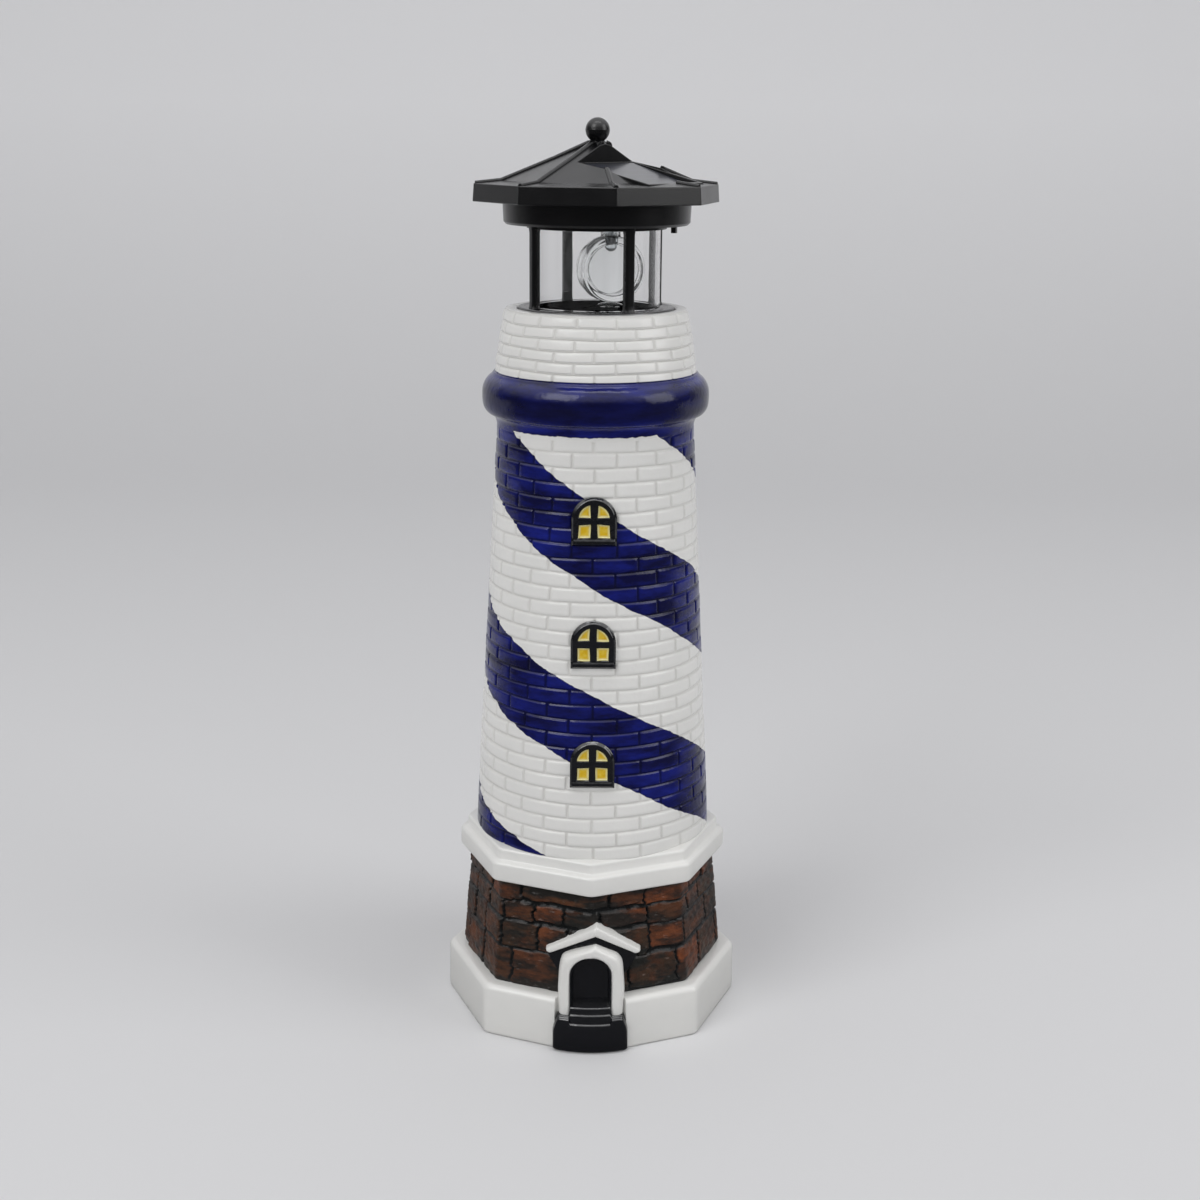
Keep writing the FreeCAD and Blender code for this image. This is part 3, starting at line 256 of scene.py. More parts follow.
def set_back(points, half_width, depth, top):
    """The points, with those near the front's middle and below a height set back to a depth, so
    that the steps and the doorway have the place to themselves."""
    x, y, z = points[..., 0], points[..., 1], points[..., 2]
    at_door = (np.abs(x) < half_width) & (y < -depth) & (z < top)
    points[..., 1] = np.where(at_door, -depth, y)
    return points


GLAZED_CORNER = 110.0
FOOT_RECESS, FOOT_RECESS_HALF = 54.0, 13.8


def octagon_shell(outside, inner_radius, recess_half=0.0):
    """A closed eight-sided shell: (circumradius, height) levels outside and a round wall inside."""
    angle = around(STOREY_COLUMNS)
    rings = [set_back(polar(octagon_radius(radius, angle, GLAZED_CORNER), angle, height), recess_half,
                      FOOT_RECESS, NECK_HEAD) for radius, height in outside]
    rings += [polar(inner_radius, angle, height) for height in (outside[-1][1], outside[0][1])]
    return ring_mesh(rings)


def set_out(radius, height, *steps):
    """Points of a profile, each a step out and up from one (radius, height)."""
    return [(radius + out, height + up) for out, up in steps]


def rounded(radius, height, edge, turn_start, turn_end, steps=5):
    """Levels round an edge of a moulding: an arc about (radius, height)."""
    return [(radius + edge * math.cos(math.radians(a)), height + edge * math.sin(math.radians(a)))
            for a in np.linspace(turn_start, turn_end, steps)]


def position_mm(tree):
    """The object's own coordinates in millimetres."""
    place = node(tree, "TexCoord").outputs["Object"]
    return node(tree, "VectorMath MULTIPLY", [place, (1.0 / MM,) * 3])


def white_glaze():
    """Opaque white earthenware glaze, fired glossy: its tone drifts a little between two whites, and
    it carries a faint ripple that bends its highlights."""
    material, tree, shader = new_material("white_earthenware_glaze")
    place = position_mm(tree)
    tint = node(tree, "TexNoise", {"Vector": place, "Scale": 0.05, "Detail": 3.0})
    ripple = node(tree, "TexNoise", {"Vector": place, "Scale": 0.16, "Detail": 2.0})
    fill(tree, shader, {
        "Base Color": node(tree, "MixRGB", [tint, linear("#E9E8E4"), linear("#DEDEDB")]),
        "Normal": node(tree, "Bump", {"Height": ripple, "Strength": 0.25, "Distance": 0.6 * MM}),
        "Roughness": 0.32, "IOR": 1.5, "Coat Weight": 0.35, "Coat Roughness": 0.12})
    return material


WHITE = white_glaze()
PLINTH_TOP = 22.0
foot_levels = set_out(FOOT_RADIUS, 0.0, (-0.9, 0.0), (-0.2, 0.5), (0.0, 1.4), (0.0, 6.0), (-0.1, 12.0))
foot_levels += rounded(FOOT_RADIUS - 3.2, PLINTH_TOP - 3.0, 3.1, 8.0, 84.0, 8)
foot_levels += set_out(FOOT_RADIUS, PLINTH_TOP, (-5.0, 0.15), (-8.5, 0.1), (-9.5, -2.0))
add_piece("tower_foot", octagon_shell(foot_levels, 50.0, FOOT_RECESS_HALF), WHITE, *CASTING)

# ---- tower: stone storey -----------------------------------------------------------------------
# Rubble stones carved into the mould in uneven courses, painted brown and rust, then washed
# with thin black glaze that settles in the joints and was wiped off the faces.

STONE_HEAD, STONE_FOOT_RADIUS, STONE_HEAD_RADIUS, STONE_BORE = 66.8, 56.4, 52.0, 42.5
STONE_COLUMNS, STONE_ROWS = 92 * SIDES, 84
STONE_RELIEF, STONE_SUNK, JOINT_HALF, BEVEL = 0.85, 0.9, 0.15, 1.0
STONE_CORNER = 90.0
STONE_RECESS, STONE_RECESS_HALF, STONE_RECESS_TOP = 50.5, 10.0, 44.0
COURSE_EDGES = (0.0, 0.35, 0.62, 0.81, 1.0)
STONE_LENGTHS = (0.042, 0.05, 0.058, 0.066, 0.078)


def stone_courses(chooser):
    """Four courses, lower ones taller, each a list of stones as (start, end) shares of the way round."""
    courses = []
    for low, high in zip(COURSE_EDGES, COURSE_EDGES[1:]):
        cuts, at = [], chooser.uniform(0.0, 0.03)
        while at < 0.975:
            cuts.append(at)
            at += chooser.choice(STONE_LENGTHS)
        courses.append((low, high, list(zip(cuts, cuts[1:])) + [(cuts[-1], 1.0 + cuts[0])]))
    return courses


def smooth_step(value, low, high):
    share = np.clip((value - low) / (high - low), 0.0, 1.0)
    return share * share * (3.0 - 2.0 * share)


def wave_noise(chooser, across, up, waves, finest):
    """Cheap smooth noise: a sum of sine waves in random directions, each a whole number of turns."""
    total = np.zeros(np.broadcast(across, up).shape)
    for _ in range(waves):
        turns = chooser.randint(2, finest)
        rise = chooser.uniform(-1.0, 1.0) * finest * 0.16
        total += np.sin(across * turns + up * rise + chooser.uniform(0.0, FULL_TURN))
    return total / math.sqrt(waves)


def stone_storey():
    """The storey's wall, with how deep in a joint and how light in tone each point is."""
    chooser = random.Random(11)
    angle = around(STONE_COLUMNS)[None, :]
    share = np.linspace(-0.06, 1.05, STONE_ROWS)[:, None]
    storey_height = STONE_HEAD - PLINTH_TOP
    girth = FULL_TURN * 53.0
    wander_up = 0.008 * wave_noise(chooser, angle, share * 6.0, 5, 26)
    wander_round = 0.0016 * wave_noise(chooser, angle, share * 30.0, 5, 30)
    up = share + wander_up
    round_place = (angle / FULL_TURN + wander_round) % 1.0
    relief, tone, joint = np.zeros(up.shape), np.zeros(up.shape), np.ones(up.shape)
    for low, high, stones in stone_courses(chooser):
        for start, end in stones:
            rise = chooser.uniform(-0.7, 0.9)
            lean = chooser.uniform(-0.5, 0.5)
            shade = chooser.random()
            low_here = low + chooser.uniform(-0.02, 0.02)
            placed = np.where(round_place < start, round_place + 1.0, round_place)
            inside = (up >= low) & (up < high) & (placed < end)
            from_side = np.minimum(placed - start, end - placed) * girth
            from_bed = np.minimum(up - low_here, high - up) * storey_height
            lift = smooth_step(from_side, JOINT_HALF, BEVEL) * smooth_step(from_bed, JOINT_HALF, BEVEL)
            middle = (placed - (start + end) / 2.0) / (end - start)
            relief = np.where(inside, lift * (1.0 + rise * 0.6 + lean * middle), relief)
            tone = np.where(inside, shade, tone)
            joint = np.where(inside, 1.0 - lift, joint)
    rough = 0.13 * wave_noise(chooser, angle, share * 30.0, 9, 70)
    rough += 0.03 * wave_noise(chooser, angle, share * 90.0, 9, 130)
    circumradius = STONE_FOOT_RADIUS + (STONE_HEAD_RADIUS - STONE_FOOT_RADIUS) * share
    flat = octagon_radius(1.0, angle, STONE_CORNER) * circumradius
    radius = flat - STONE_SUNK + STONE_RELIEF * relief + rough * (1.0 - joint * 0.7)
    outside = polar(radius, angle, PLINTH_TOP + storey_height * share)
    outside = set_back(outside, STONE_RECESS_HALF, STONE_RECESS, STONE_RECESS_TOP)
    inner = [polar(STONE_BORE, angle[0], height) for height in (STONE_HEAD + 2.0, PLINTH_TOP - 2.4)]
    none = np.zeros((2, STONE_COLUMNS))
    return ring_mesh(np.concatenate([outside, inner]), attributes={
        "joint": np.concatenate([joint, none]), "tone": np.concatenate([tone, none])})


def washed_stone():
    """Underglaze browns and rust sponged on, black wash in the hollows, under a satin clear
    glaze: the eye sees warm faces, sooty joints and small sharp glints."""
    material, tree, shader = new_material("black_washed_brown_glaze")
    place = position_mm(tree)
    joint, tone = [node(tree, "Attribute", attribute_name=name).outputs["Fac"] for name in ("joint", "tone")]
    ramp = node(tree, "ValToRGB", [tone])
    stops = ((0.0, "#3A2B20"), (0.35, "#4B3221"), (0.6, "#5F3620"), (0.82, "#7C401F"), (1.0, "#41301F"))
    for position, _ in stops[1:-1]:
        ramp.color_ramp.elements.new(position)
    for element, (_, code) in zip(ramp.color_ramp.elements, stops):
        element.color = linear(code)
    patches = node(tree, "TexNoise", {"Vector": place, "Scale": 0.16, "Detail": 5.0, "Roughness": 0.6})
    sponge = node(tree, "MapRange", [patches, 0.44, 0.62])
    rust = node(tree, "MixRGB", [sponge, ramp, linear("#57301A")])
    # the wash was dragged along the courses, so its streaks lie level
    dragged = node(tree, "Mapping", {"Vector": place, "Scale": (0.55, 0.55, 1.7)})
    streak = node(tree, "TexNoise", {"Vector": dragged, "Scale": 0.4, "Detail": 6.0, "Roughness": 0.72})
    smears = node(tree, "TexNoise", {"Vector": dragged, "Scale": 0.1, "Detail": 5.0, "Roughness": 0.6})
    wash_and_shade = node(tree, "MapRange", [smears, 0.4, 0.58, 0.0, 0.85])
    # painted shade: darker round the doorway under the gable, along the foot and under the cornice
    x, y, z = node(tree, "SeparateXYZ", [place]).outputs
    across = node(tree, "Math MULTIPLY", [node(tree, "Math SUBTRACT", [x, 1.5]), 0.85])
    up = node(tree, "Math MULTIPLY", [node(tree, "Math SUBTRACT", [z, 40.0]), 1.1])
    squares = [node(tree, "Math POWER", [side, 2.0]) for side in (up, across)]
    from_door = node(tree, "Math SQRT", [node(tree, "Math ADD", squares)])
    behind = node(tree, "Math MULTIPLY", [node(tree, "Math ADD", [y, 50.0]), 1.5])
    from_door = node(tree, "Math ADD", [from_door, behind])
    from_middle = node(tree, "Math ABSOLUTE", [node(tree, "Math SUBTRACT", [z, 44.4])])
    from_edge = node(tree, "Math SUBTRACT", [22.4, from_middle])
    near_door = node(tree, "MapRange", [from_door, 15.0, 26.0, 0.3, 0.0])
    near_edge = node(tree, "MapRange", [from_edge, 0.0, 5.0, 0.25, 0.0])
    # the sum below is painted shade round the gable and along both creases, not brush work
    brushed = node(tree, "Math MULTIPLY", [node(tree, "Math ADD", [near_door, near_edge]), 2.0])
    wash_and_shade = node(tree, "Math MINIMUM", [node(tree, "Math ADD", [wash_and_shade, brushed]), 0.92])
    # the rust is darkened both by the black wash smears and by the painted shade
    rust_with_wash_and_shade = node(tree, "MixRGB", [wash_and_shade, rust, linear("#1C1F1E")])
    soot = node(tree, "Math ADD", [node(tree, "Math MULTIPLY", [joint, 0.75]), streak])
    wash = node(tree, "MapRange", [soot, 0.5, 0.95])
    pits = node(tree, "TexNoise", {"Vector": place, "Scale": 0.9, "Detail": 4.0})
    fill(tree, shader, {
        "Base Color": node(tree, "MixRGB", [wash, rust_with_wash_and_shade, linear("#101213")]),
        "Normal": node(tree, "Bump", {"Height": pits, "Strength": 0.35, "Distance": 0.5 * MM}),
        "Roughness": 0.42, "Specular IOR Level": 0.35})
    return material


add_piece("stone_storey", stone_storey(), washed_stone(), *CASTING)

# ---- tower: cornice ----------------------------------------------------------------------------
# A two-tier eight-sided moulding over the stones, the upper tier set back, white glaze thick
# enough to have filled its inner corners.

CORNICE_STEP, CORNICE_TOP = 75.3, 80.6
CORNICE_RADIUS, CORNICE_TOP_RADIUS = 56.8, 53.7

cornice_levels = [(STONE_HEAD_RADIUS - 2.0, STONE_HEAD - 0.9), (CORNICE_RADIUS - 2.0, STONE_HEAD)]
cornice_levels += rounded(CORNICE_RADIUS - 1.4, STONE_HEAD + 1.4, 1.4, -80.0, 0.0)
cornice_levels += rounded(CORNICE_RADIUS - 1.5, CORNICE_STEP - 1.5, 1.5, 0.0, 78.0)
cornice_levels += set_out(CORNICE_TOP_RADIUS, CORNICE_STEP, (0.6, 0.25), (0.1, 0.8))
cornice_levels += rounded(CORNICE_TOP_RADIUS - 1.2, CORNICE_TOP - 1.6, 1.2, 0.0, 80.0)
cornice_levels += [(CORNICE_TOP_RADIUS - 3.2, CORNICE_TOP - 0.1), (48.5, CORNICE_TOP + 0.1)]
add_piece("cornice", octagon_shell(cornice_levels, 44.4), WHITE, *CASTING)

# ---- tower: brick shaft and neck ---------------------------------------------------------------
# Running-bond bricks carved in the mould by hand, so no two joints are quite alike. The white
# glaze covers all; two stripes of cobalt blue were brushed on in a left-handed spiral.

SHAFT_HEAD, RING_FOOT, RING_TOP = 247.0, 254.7, 271.6
BRICK_TOP = 250.5
SHAFT_FOOT_RADIUS, SHAFT_HEAD_RADIUS = 49.1, 39.8
NECK_FOOT_RADIUS, NECK_HEAD_RADIUS, NECK_BULGE = 40.5, 36.5, 1.1
BRICKS_ROUND, SHAFT_COURSES, NECK_COURSES = 15, 29, 6
BRICK_RELIEF, BRICK_BEVEL, MORTAR_HALF = 0.55, 0.85, 0.34
BED_WAVER = 0.17
CELL_SHARES = (0.0, 0.035, 0.075, 0.13, 0.27, 0.42, 0.58, 0.73, 0.87, 0.925, 0.965)
BED_SHARES = (0.0, 0.05, 0.1, 0.16, 0.3, 0.5, 0.7, 0.84, 0.9, 0.95)


def brick_course(chooser, course):
    """Round one course: the angle of each point, how far on it is from an upright joint, in
    radians, and how proud its brick is. A cell is half a brick."""
    cells = BRICKS_ROUND * 2
    cell_angle = FULL_TURN / cells
    jitter = [chooser.uniform(-0.07, 0.07) * cell_angle for _ in range(cells)]
    joints = [cell % 2 == course % 2 for cell in range(cells)]
    starts = [cell * cell_angle + (jitter[cell] if joints[cell] else 0.0) for cell in range(cells)]
    starts.append(starts[0] + FULL_TURN)
    bricks = [chooser.uniform(-0.12, 0.12) for _ in range(cells)]
    angles, joint_gap, proud = [], [], []
    for cell in range(cells):
        for share in CELL_SHARES:
            angles.append(starts[cell] + (starts[cell + 1] - starts[cell]) * share)
            joint_gap.append((share if joints[cell] else 1.0 - share) * cell_angle)
            proud.append(bricks[cell if joints[cell] else cell - 1])
    return np.asarray(angles), np.asarray(joint_gap), np.asarray(proud)


def brick_shell(foot, head, courses, radius_at, seed, inside, step_back=0.0):
    """A closed brick-faced wall, with how deep in mortar each point is; inside gives (radius,
    height) points down its smooth inner face."""
    chooser = random.Random(seed)
    course_height = (head - foot) / courses
    rings, mortar = [], []
    waver = [chooser.uniform(0.0, FULL_TURN) for _ in range(courses + 1)]
    for course in range(courses):
        angles, joint_gap, proud = brick_course(chooser, course)
        for share in BED_SHARES if course < courses - 1 else BED_SHARES + (1.0,):
            flat = foot + course_height * (course + share)
            wobble = BED_WAVER * np.sin(angles * 5.0 + waver[course]) * (1.0 - share)
            wobble += BED_WAVER * np.sin(angles * 5.0 + waver[course + 1]) * share
            height = flat + wobble * (0.0 if flat in (foot, head) else 1.0)
            base = radius_at(flat) - step_back * share
            from_bed = np.asarray(min(share, 1.0 - share) * course_height)
            lift = smooth_step(joint_gap * base, MORTAR_HALF * 0.5, BRICK_BEVEL)
            lift = lift * smooth_step(from_bed, MORTAR_HALF * 0.4, BRICK_BEVEL)
            rings.append(polar(base + BRICK_RELIEF * (lift - 0.5) + proud * lift, angles, height))
            mortar.append(1.0 - lift)
    angle = around(rings[0].shape[0])
    for radius, height in inside:
        rings.append(polar(radius, angle, height))
        mortar.append(np.zeros(angle.shape))
    return ring_mesh(rings, attributes={"mortar": mortar})


def shaft_radius(height):
    share = min((height - CORNICE_TOP) / (SHAFT_HEAD - CORNICE_TOP), 1.0)
    return SHAFT_FOOT_RADIUS + (SHAFT_HEAD_RADIUS - SHAFT_FOOT_RADIUS) * share


def neck_radius(height):
    """A slightly barrelled neck."""
    share = (height - RING_TOP) / (NECK_HEAD - RING_TOP)
    straight = NECK_FOOT_RADIUS + (NECK_HEAD_RADIUS - NECK_FOOT_RADIUS) * share
    return straight + NECK_BULGE * share * (1.0 - share)


# The stripes, measured on the shaft: one starts every half turn, and they drop about 155 mm in a
# full turn, a little steeper near the gallery than near the cornice.
STRIPE_SPACING, STRIPE_MIDDLE, STRIPE_HALF = 77.4, 53.1, 16.5
STRIPE_FALL = 2.0 * STRIPE_SPACING / 360.0
STEEPER_FROM, STEEPER_RATE = 166.9, 0.00062
BOW_HEAD, BOW_FOOT, BOW_DEPTH = 176.8, 122.3, 2.6
EDGE_SWAY, EDGE_SHAKE, EDGE_BLUR = 4.5, 1.5, 0.12
BAND_FOOT = 250.6


def off_axis(tree, x, y):
    """How far a point is from the tower's axis."""
    squares = [node(tree, "Math MULTIPLY", [side, side]) for side in (x, y)]
    return node(tree, "Math SQRT", [node(tree, "Math ADD", squares)])


def unsteady(tree, pattern, reach):
    """A brush's wandering: a pattern about nought, as wide as its reach."""
    return node(tree, "Math MULTIPLY", [node(tree, "Math SUBTRACT", [pattern, 0.5]), reach])


def stripe_mask(tree, place):
    """1 where blue was brushed on: a two-start helix with a hand-drawn edge, and the top band. Also
    how far inside its border a point is, in millimetres."""
    x, y, z = node(tree, "SeparateXYZ", [place]).outputs
    front = node(tree, "Math MULTIPLY", [y, -1.0])
    turn = node(tree, "Math MULTIPLY", [node(tree, "Math ARCTAN2", [x, front]), 180.0 / math.pi])
    fall = node(tree, "Math MULTIPLY", [turn, STRIPE_FALL])
    # steeper high up and shallower low down, over the front half only
    to_side = node(tree, "Math ABSOLUTE", [turn])
    front_half = node(tree, "MapRange", [to_side, 90.0, 178.0, 1.0, 0.0], interpolation_type="SMOOTHSTEP")
    steeper = node(tree, "Math MULTIPLY", [node(tree, "Math SUBTRACT", [z, STEEPER_FROM]), STEEPER_RATE])
    extra = node(tree, "Math MULTIPLY", [node(tree, "Math MULTIPLY", [steeper, turn]), front_half])
    low_down = node(tree, "MapRange", [z, BOW_HEAD, BOW_FOOT])
    crown = node(tree, "Math COSINE", [node(tree, "Math MULTIPLY", [turn, math.pi / 180.0 * 2.0])])
    bow = node(tree, "Math MULTIPLY", [node(tree, "Math MULTIPLY", [crown, -BOW_DEPTH]),
                                       node(tree, "Math MULTIPLY", [low_down, front_half])])
    broad = node(tree, "TexNoise", {"Vector": place, "Scale": 0.035, "Detail": 1.0})
    fine = node(tree, "TexNoise", {"Vector": place, "Scale": 0.3, "Detail": 3.0})
    sway = unsteady(tree, broad, EDGE_SWAY)
    shake = unsteady(tree, fine, EDGE_SHAKE)
    helix = z
    for term in (fall, extra, bow, sway, shake):
        helix = node(tree, "Math ADD", [helix, term])
    from_middle = node(tree, "Math SUBTRACT", [helix, STRIPE_MIDDLE])
    wrapped = node(tree, "Math WRAP", [from_middle, STRIPE_SPACING / 2.0, -STRIPE_SPACING / 2.0])
    in_stripe = node(tree, "Math SUBTRACT", [STRIPE_HALF, node(tree, "Math ABSOLUTE", [wrapped])])
    in_band = node(tree, "Math ADD", [node(tree, "Math SUBTRACT", [z, BAND_FOOT]), shake])
    below_neck = node(tree, "Math SUBTRACT", [RING_TOP + 0.4, z])
    inside = node(tree, "Math MINIMUM", [node(tree, "Math MAXIMUM", [in_stripe, in_band]), below_neck])
    # the brush only reached the outside: the wall's inner face stays bare
    taper = (SHAFT_FOOT_RADIUS - SHAFT_HEAD_RADIUS) / (SHAFT_HEAD - CORNICE_TOP)
    skin = node(tree, "Math ADD", [off_axis(tree, x, y), node(tree, "Math MULTIPLY", [z, taper])])
    skin = node(tree, "Math SUBTRACT", [skin, SHAFT_FOOT_RADIUS - WALL / 2.0 + CORNICE_TOP * taper])
    inside = node(tree, "Math MINIMUM", [inside, skin])
    return node(tree, "MapRange", [inside, -EDGE_BLUR, EDGE_BLUR]), inside, z


def striped_glaze():
    """White glaze with cobalt brushed over it: the blue is uneven, lighter in streaks where the brush
    dragged, and nearly black where it pooled in joints and along its borders."""
    material, tree, shader = new_material("white_and_cobalt_glaze")
    place = position_mm(tree)
    mask, inside, z = stripe_mask(tree, place)
    mortar = node(tree, "Attribute", attribute_name="mortar").outputs["Fac"]
    tint = node(tree, "TexNoise", {"Vector": place, "Scale": 0.05, "Detail": 3.0})
    bare = node(tree, "MixRGB", [tint, linear("#E8E7E4"), linear("#DDDDDA")])
    # painted shade: the white is greyed in the sunk mortar joints
    painted_joint_shade = node(tree, "Math MULTIPLY", [mortar, 0.3])
    white = node(tree, "MixRGB", [painted_joint_shade, bare, linear("#C2BFB9")])
    strokes = node(tree, "Mapping", {"Vector": place, "Scale": (0.5, 0.5, 1.6),
                                     "Rotation": (0.0, math.radians(24.0), 0.0)})
    drag = node(tree, "TexNoise", {"Vector": strokes, "Scale": 0.09, "Detail": 5.0, "Roughness": 0.62})
    density = node(tree, "MapRange", [drag, 0.38, 0.76])
    # painted shade: the gallery ring is darkened nearly black round its middle
    from_ring = node(tree, "Math ABSOLUTE", [node(tree, "Math SUBTRACT", [z, 261.5])])
    ring_shade = node(tree, "MapRange", [from_ring, 2.5, 8.0, 0.75, 0.0])
    pooled = node(tree, "Math MULTIPLY", [node(tree, "Math POWER", [mortar, 1.5]), 0.62])
    border = node(tree, "MapRange", [inside, 0.0, 1.1, 0.55, 0.0])
    blue = linear("#080938")
    for share, code in ((density, "#172284"), (ring_shade, "#07082C"), (pooled, "#06071E"), (border, "#0C0D3C")):
        blue = node(tree, "MixRGB", [share, blue, linear(code)])
    ripple = node(tree, "TexNoise", {"Vector": place, "Scale": 0.35, "Detail": 3.0})
    fill(tree, shader, {
        "Base Color": node(tree, "MixRGB", [mask, white, blue]),
        "Normal": node(tree, "Bump", {"Height": ripple, "Strength": 0.3, "Distance": 0.5 * MM}),
        "Roughness": 0.18, "Specular IOR Level": 0.36})
    return material


STRIPED = striped_glaze()
SHAFT_BORE = SHAFT_HEAD_RADIUS - WALL
shaft_inside = [(SHAFT_BORE, BRICK_TOP), (SHAFT_FOOT_RADIUS - WALL, CORNICE_TOP - 1.0)]
shaft = brick_shell(CORNICE_TOP - 1.0, BRICK_TOP, SHAFT_COURSES, shaft_radius, 5, shaft_inside)
add_piece("brick_shaft", shaft, STRIPED, *CASTING)

# the neck's rim is rounded off, and inside it the lantern sits on a ledge
SOCKET_RADIUS, SOCKET_FLOOR, LEDGE_RADIUS, LEDGE_FOOT = 31.7, 294.3, 29.5, 289.3
neck_inside = set_out(NECK_HEAD_RADIUS, NECK_HEAD, (-0.45, -0.15), (-1.2, 0.0))
neck_inside += set_out(SOCKET_RADIUS, NECK_HEAD, (0.7, 0.0), (0.0, -0.6))
neck_inside += [(SOCKET_RADIUS, SOCKET_FLOOR), (LEDGE_RADIUS, SOCKET_FLOOR), (LEDGE_RADIUS, LEDGE_FOOT),
                (LEDGE_RADIUS + 2.0, LEDGE_FOOT - WALL), (SHAFT_BORE, RING_TOP)]
neck = brick_shell(RING_TOP - 1.0, NECK_HEAD - 0.5, NECK_COURSES, neck_radius, 23, neck_inside, 0.3)
add_piece("brick_neck", neck, STRIPED, *CASTING)

# ---- tower: gallery ring -----------------------------------------------------------------------
# The gallery: a fat rounded ring over a plain cove, brushed all over with the same cobalt, with
# painted shade that makes it nearly black round its middle.


def lathe_mesh(profile, steps=128, off_centre=0.0, closed=True):
    """A turned mesh from (radius, height) points in millimetres, its axis off to the right."""
    shift = np.array([off_centre, 0.0, 0.0])
    return ring_mesh([polar(radius, around(steps), height) + shift for radius, height in profile], closed)


def smooth_line(points, steps=6):
    """A smooth curve through points: Catmull-Rom, with its ends held."""
    line = np.asarray(points, dtype=float)
    padded = np.vstack([line[:1], line, line[-1:]])
    curve = []
    for before, start, end, after in zip(padded, padded[1:], padded[2:], padded[3:]):
        for share in np.linspace(0.0, 1.0, steps, endpoint=False):
            bend = 2.0 * before - 5.0 * start + 4.0 * end - after
            bend = bend + share * (3.0 * (start - end) + after - before)
            curve.append(start + 0.5 * share * (end - before + share * bend))
    return [tuple(point) for point in curve] + [tuple(line[-1])]


RING_RADIUS = 45.7
cove = set_out(SHAFT_HEAD_RADIUS, BRICK_TOP, (0.1, -1.5), (0.2, 0.6), (0.9, 2.6))
bulge = set_out(RING_RADIUS, RING_FOOT, (-3.5, 0.0), (-1.8, 0.9), (-0.5, 2.9), (0.0, 5.6), (0.0, 9.4),
                (-0.6, 11.8), (-1.9, 14.0), (-3.7, 15.6))
seam = set_out(NECK_FOOT_RADIUS, RING_TOP, (0.4, -0.1), (-1.8, 0.1))
gallery = [(SHAFT_BORE, BRICK_TOP - 1.5)] + smooth_line(cove + bulge + seam) + [(SHAFT_BORE, RING_TOP + 0.1)]
add_piece("gallery_ring", lathe_mesh(gallery, 192), STRIPED, *CASTING)

# ---- tower: windows ----------------------------------------------------------------------------
# Three round-headed windows, part of the casting: raised frames and bars under glossy black
# glaze, and four sunk panes each, painted yellow and glazed thin enough to show the brush.

WINDOW_HALF, WINDOW_HEIGHT, WINDOW_RISE = 8.9, 19.2, 1.8
WINDOWS, TOP_SILL, WINDOW_SPACING = 3, 208.7, 48.95
FRAME_WIDTH, SILL_DEPTH, BAR_HALF, PANE_DEPTH = 2.6, 3.2, 1.25, 1.0
CROSSBAR = 9.9


def walk(corners, count, closed=True):
    """Points at even steps along a line through (x, z) corners."""
    path = np.asarray(corners, dtype=float)
    if closed:
        path = np.vstack([path, path[:1]])
    length = np.concatenate([[0.0], np.cumsum(np.hypot(*np.diff(path, axis=0).T))])
    at = np.linspace(0.0, length[-1], count, endpoint=not closed)
    return np.stack([np.interp(at, length, path[:, axis]) for axis in (0, 1)], axis=-1)


def arch_line(half_width, foot, top):
    """An arch from its right foot over its round head to its left foot, as (x, z) corners."""
    spring = top - half_width
    head = [(half_width * math.cos(a), spring + half_width * math.sin(a))
            for a in np.linspace(0.0, math.pi, 41)]
    return [(half_width, foot)] + head + [(-half_width, foot)]


def inside_arch(x, z, half_width, foot, top):
    """How far inside an arch's outline a point is."""
    spring = top - half_width
    below = np.minimum(half_width - np.abs(x), z - foot)
    return np.where(z > spring, half_width - np.hypot(x, z - spring), below)


def relief_mesh(outline, middle, back, face, count, levels, masks=None):
    """A closed relief on the tower's front, whose face stands out by face(x, z) from the axis."""
    edge = walk(outline, count)
    shares = np.linspace(1.0, 0.02, levels)
    flat = np.asarray(middle) + (edge - np.asarray(middle)) * shares[:, None, None]
    x, z = flat[..., 0], flat[..., 1]
    front = np.stack([x, -face(x, z), z], axis=-1)
    rear = np.stack([edge[:, 0], -back + 0.0 * edge[:, 0], edge[:, 1]], axis=-1)[None]
    attributes = {mask: np.concatenate([np.zeros((1, count)), values(x, z)])
                  for mask, values in (masks or {}).items()}
    return ring_mesh(np.concatenate([rear, front]), closed=False, attributes=attributes)


def window_mesh(sill):
    """A window, with where its panes are and where each pane's middle is."""
    middle = sill + WINDOW_HEIGHT / 2.0
    radius = shaft_radius(middle)
    top = sill + WINDOW_HEIGHT

    def from_bars(x, z):
        """How far inside a pane's edge a point is, the edges a little unsteady as they were cut."""
        wander = 0.2 * np.sin(x * 0.45 + sill) * np.sin(z * 0.4 + sill * 2.0)
        in_frame = inside_arch(x, z, WINDOW_HALF, sill - 2.0, top) - FRAME_WIDTH
        clear = np.minimum(np.minimum(in_frame, np.abs(x) - BAR_HALF), np.abs(z - sill - CROSSBAR) - BAR_HALF)
        return np.minimum(clear, z - sill - SILL_DEPTH) + wander

    def pane(x, z):
        return smooth_step(from_bars(x, z), 0.0, 0.45)

    def pane_middle(x, z):
        return smooth_step(from_bars(x, z), 0.3, 1.3)

    def face(x, z):
        crown = smooth_step(inside_arch(x, z, WINDOW_HALF, sill, top), -0.25, 1.15)
        sill_nose = 0.35 * np.exp(-((z - sill - 1.9) / 0.8) ** 2)
        lean = (middle - z) * 0.05
        return radius + lean + WINDOW_RISE - 1.25 * (1.0 - crown) + sill_nose - PANE_DEPTH * pane(x, z)

    outline = [(-WINDOW_HALF, sill), (WINDOW_HALF, sill)] + arch_line(WINDOW_HALF, sill, top)[1:-1]
    return relief_mesh(outline, (0.0, sill + CROSSBAR), radius - 2.5, face, 280, 48,
                       {"pane": pane, "pane_middle": pane_middle})


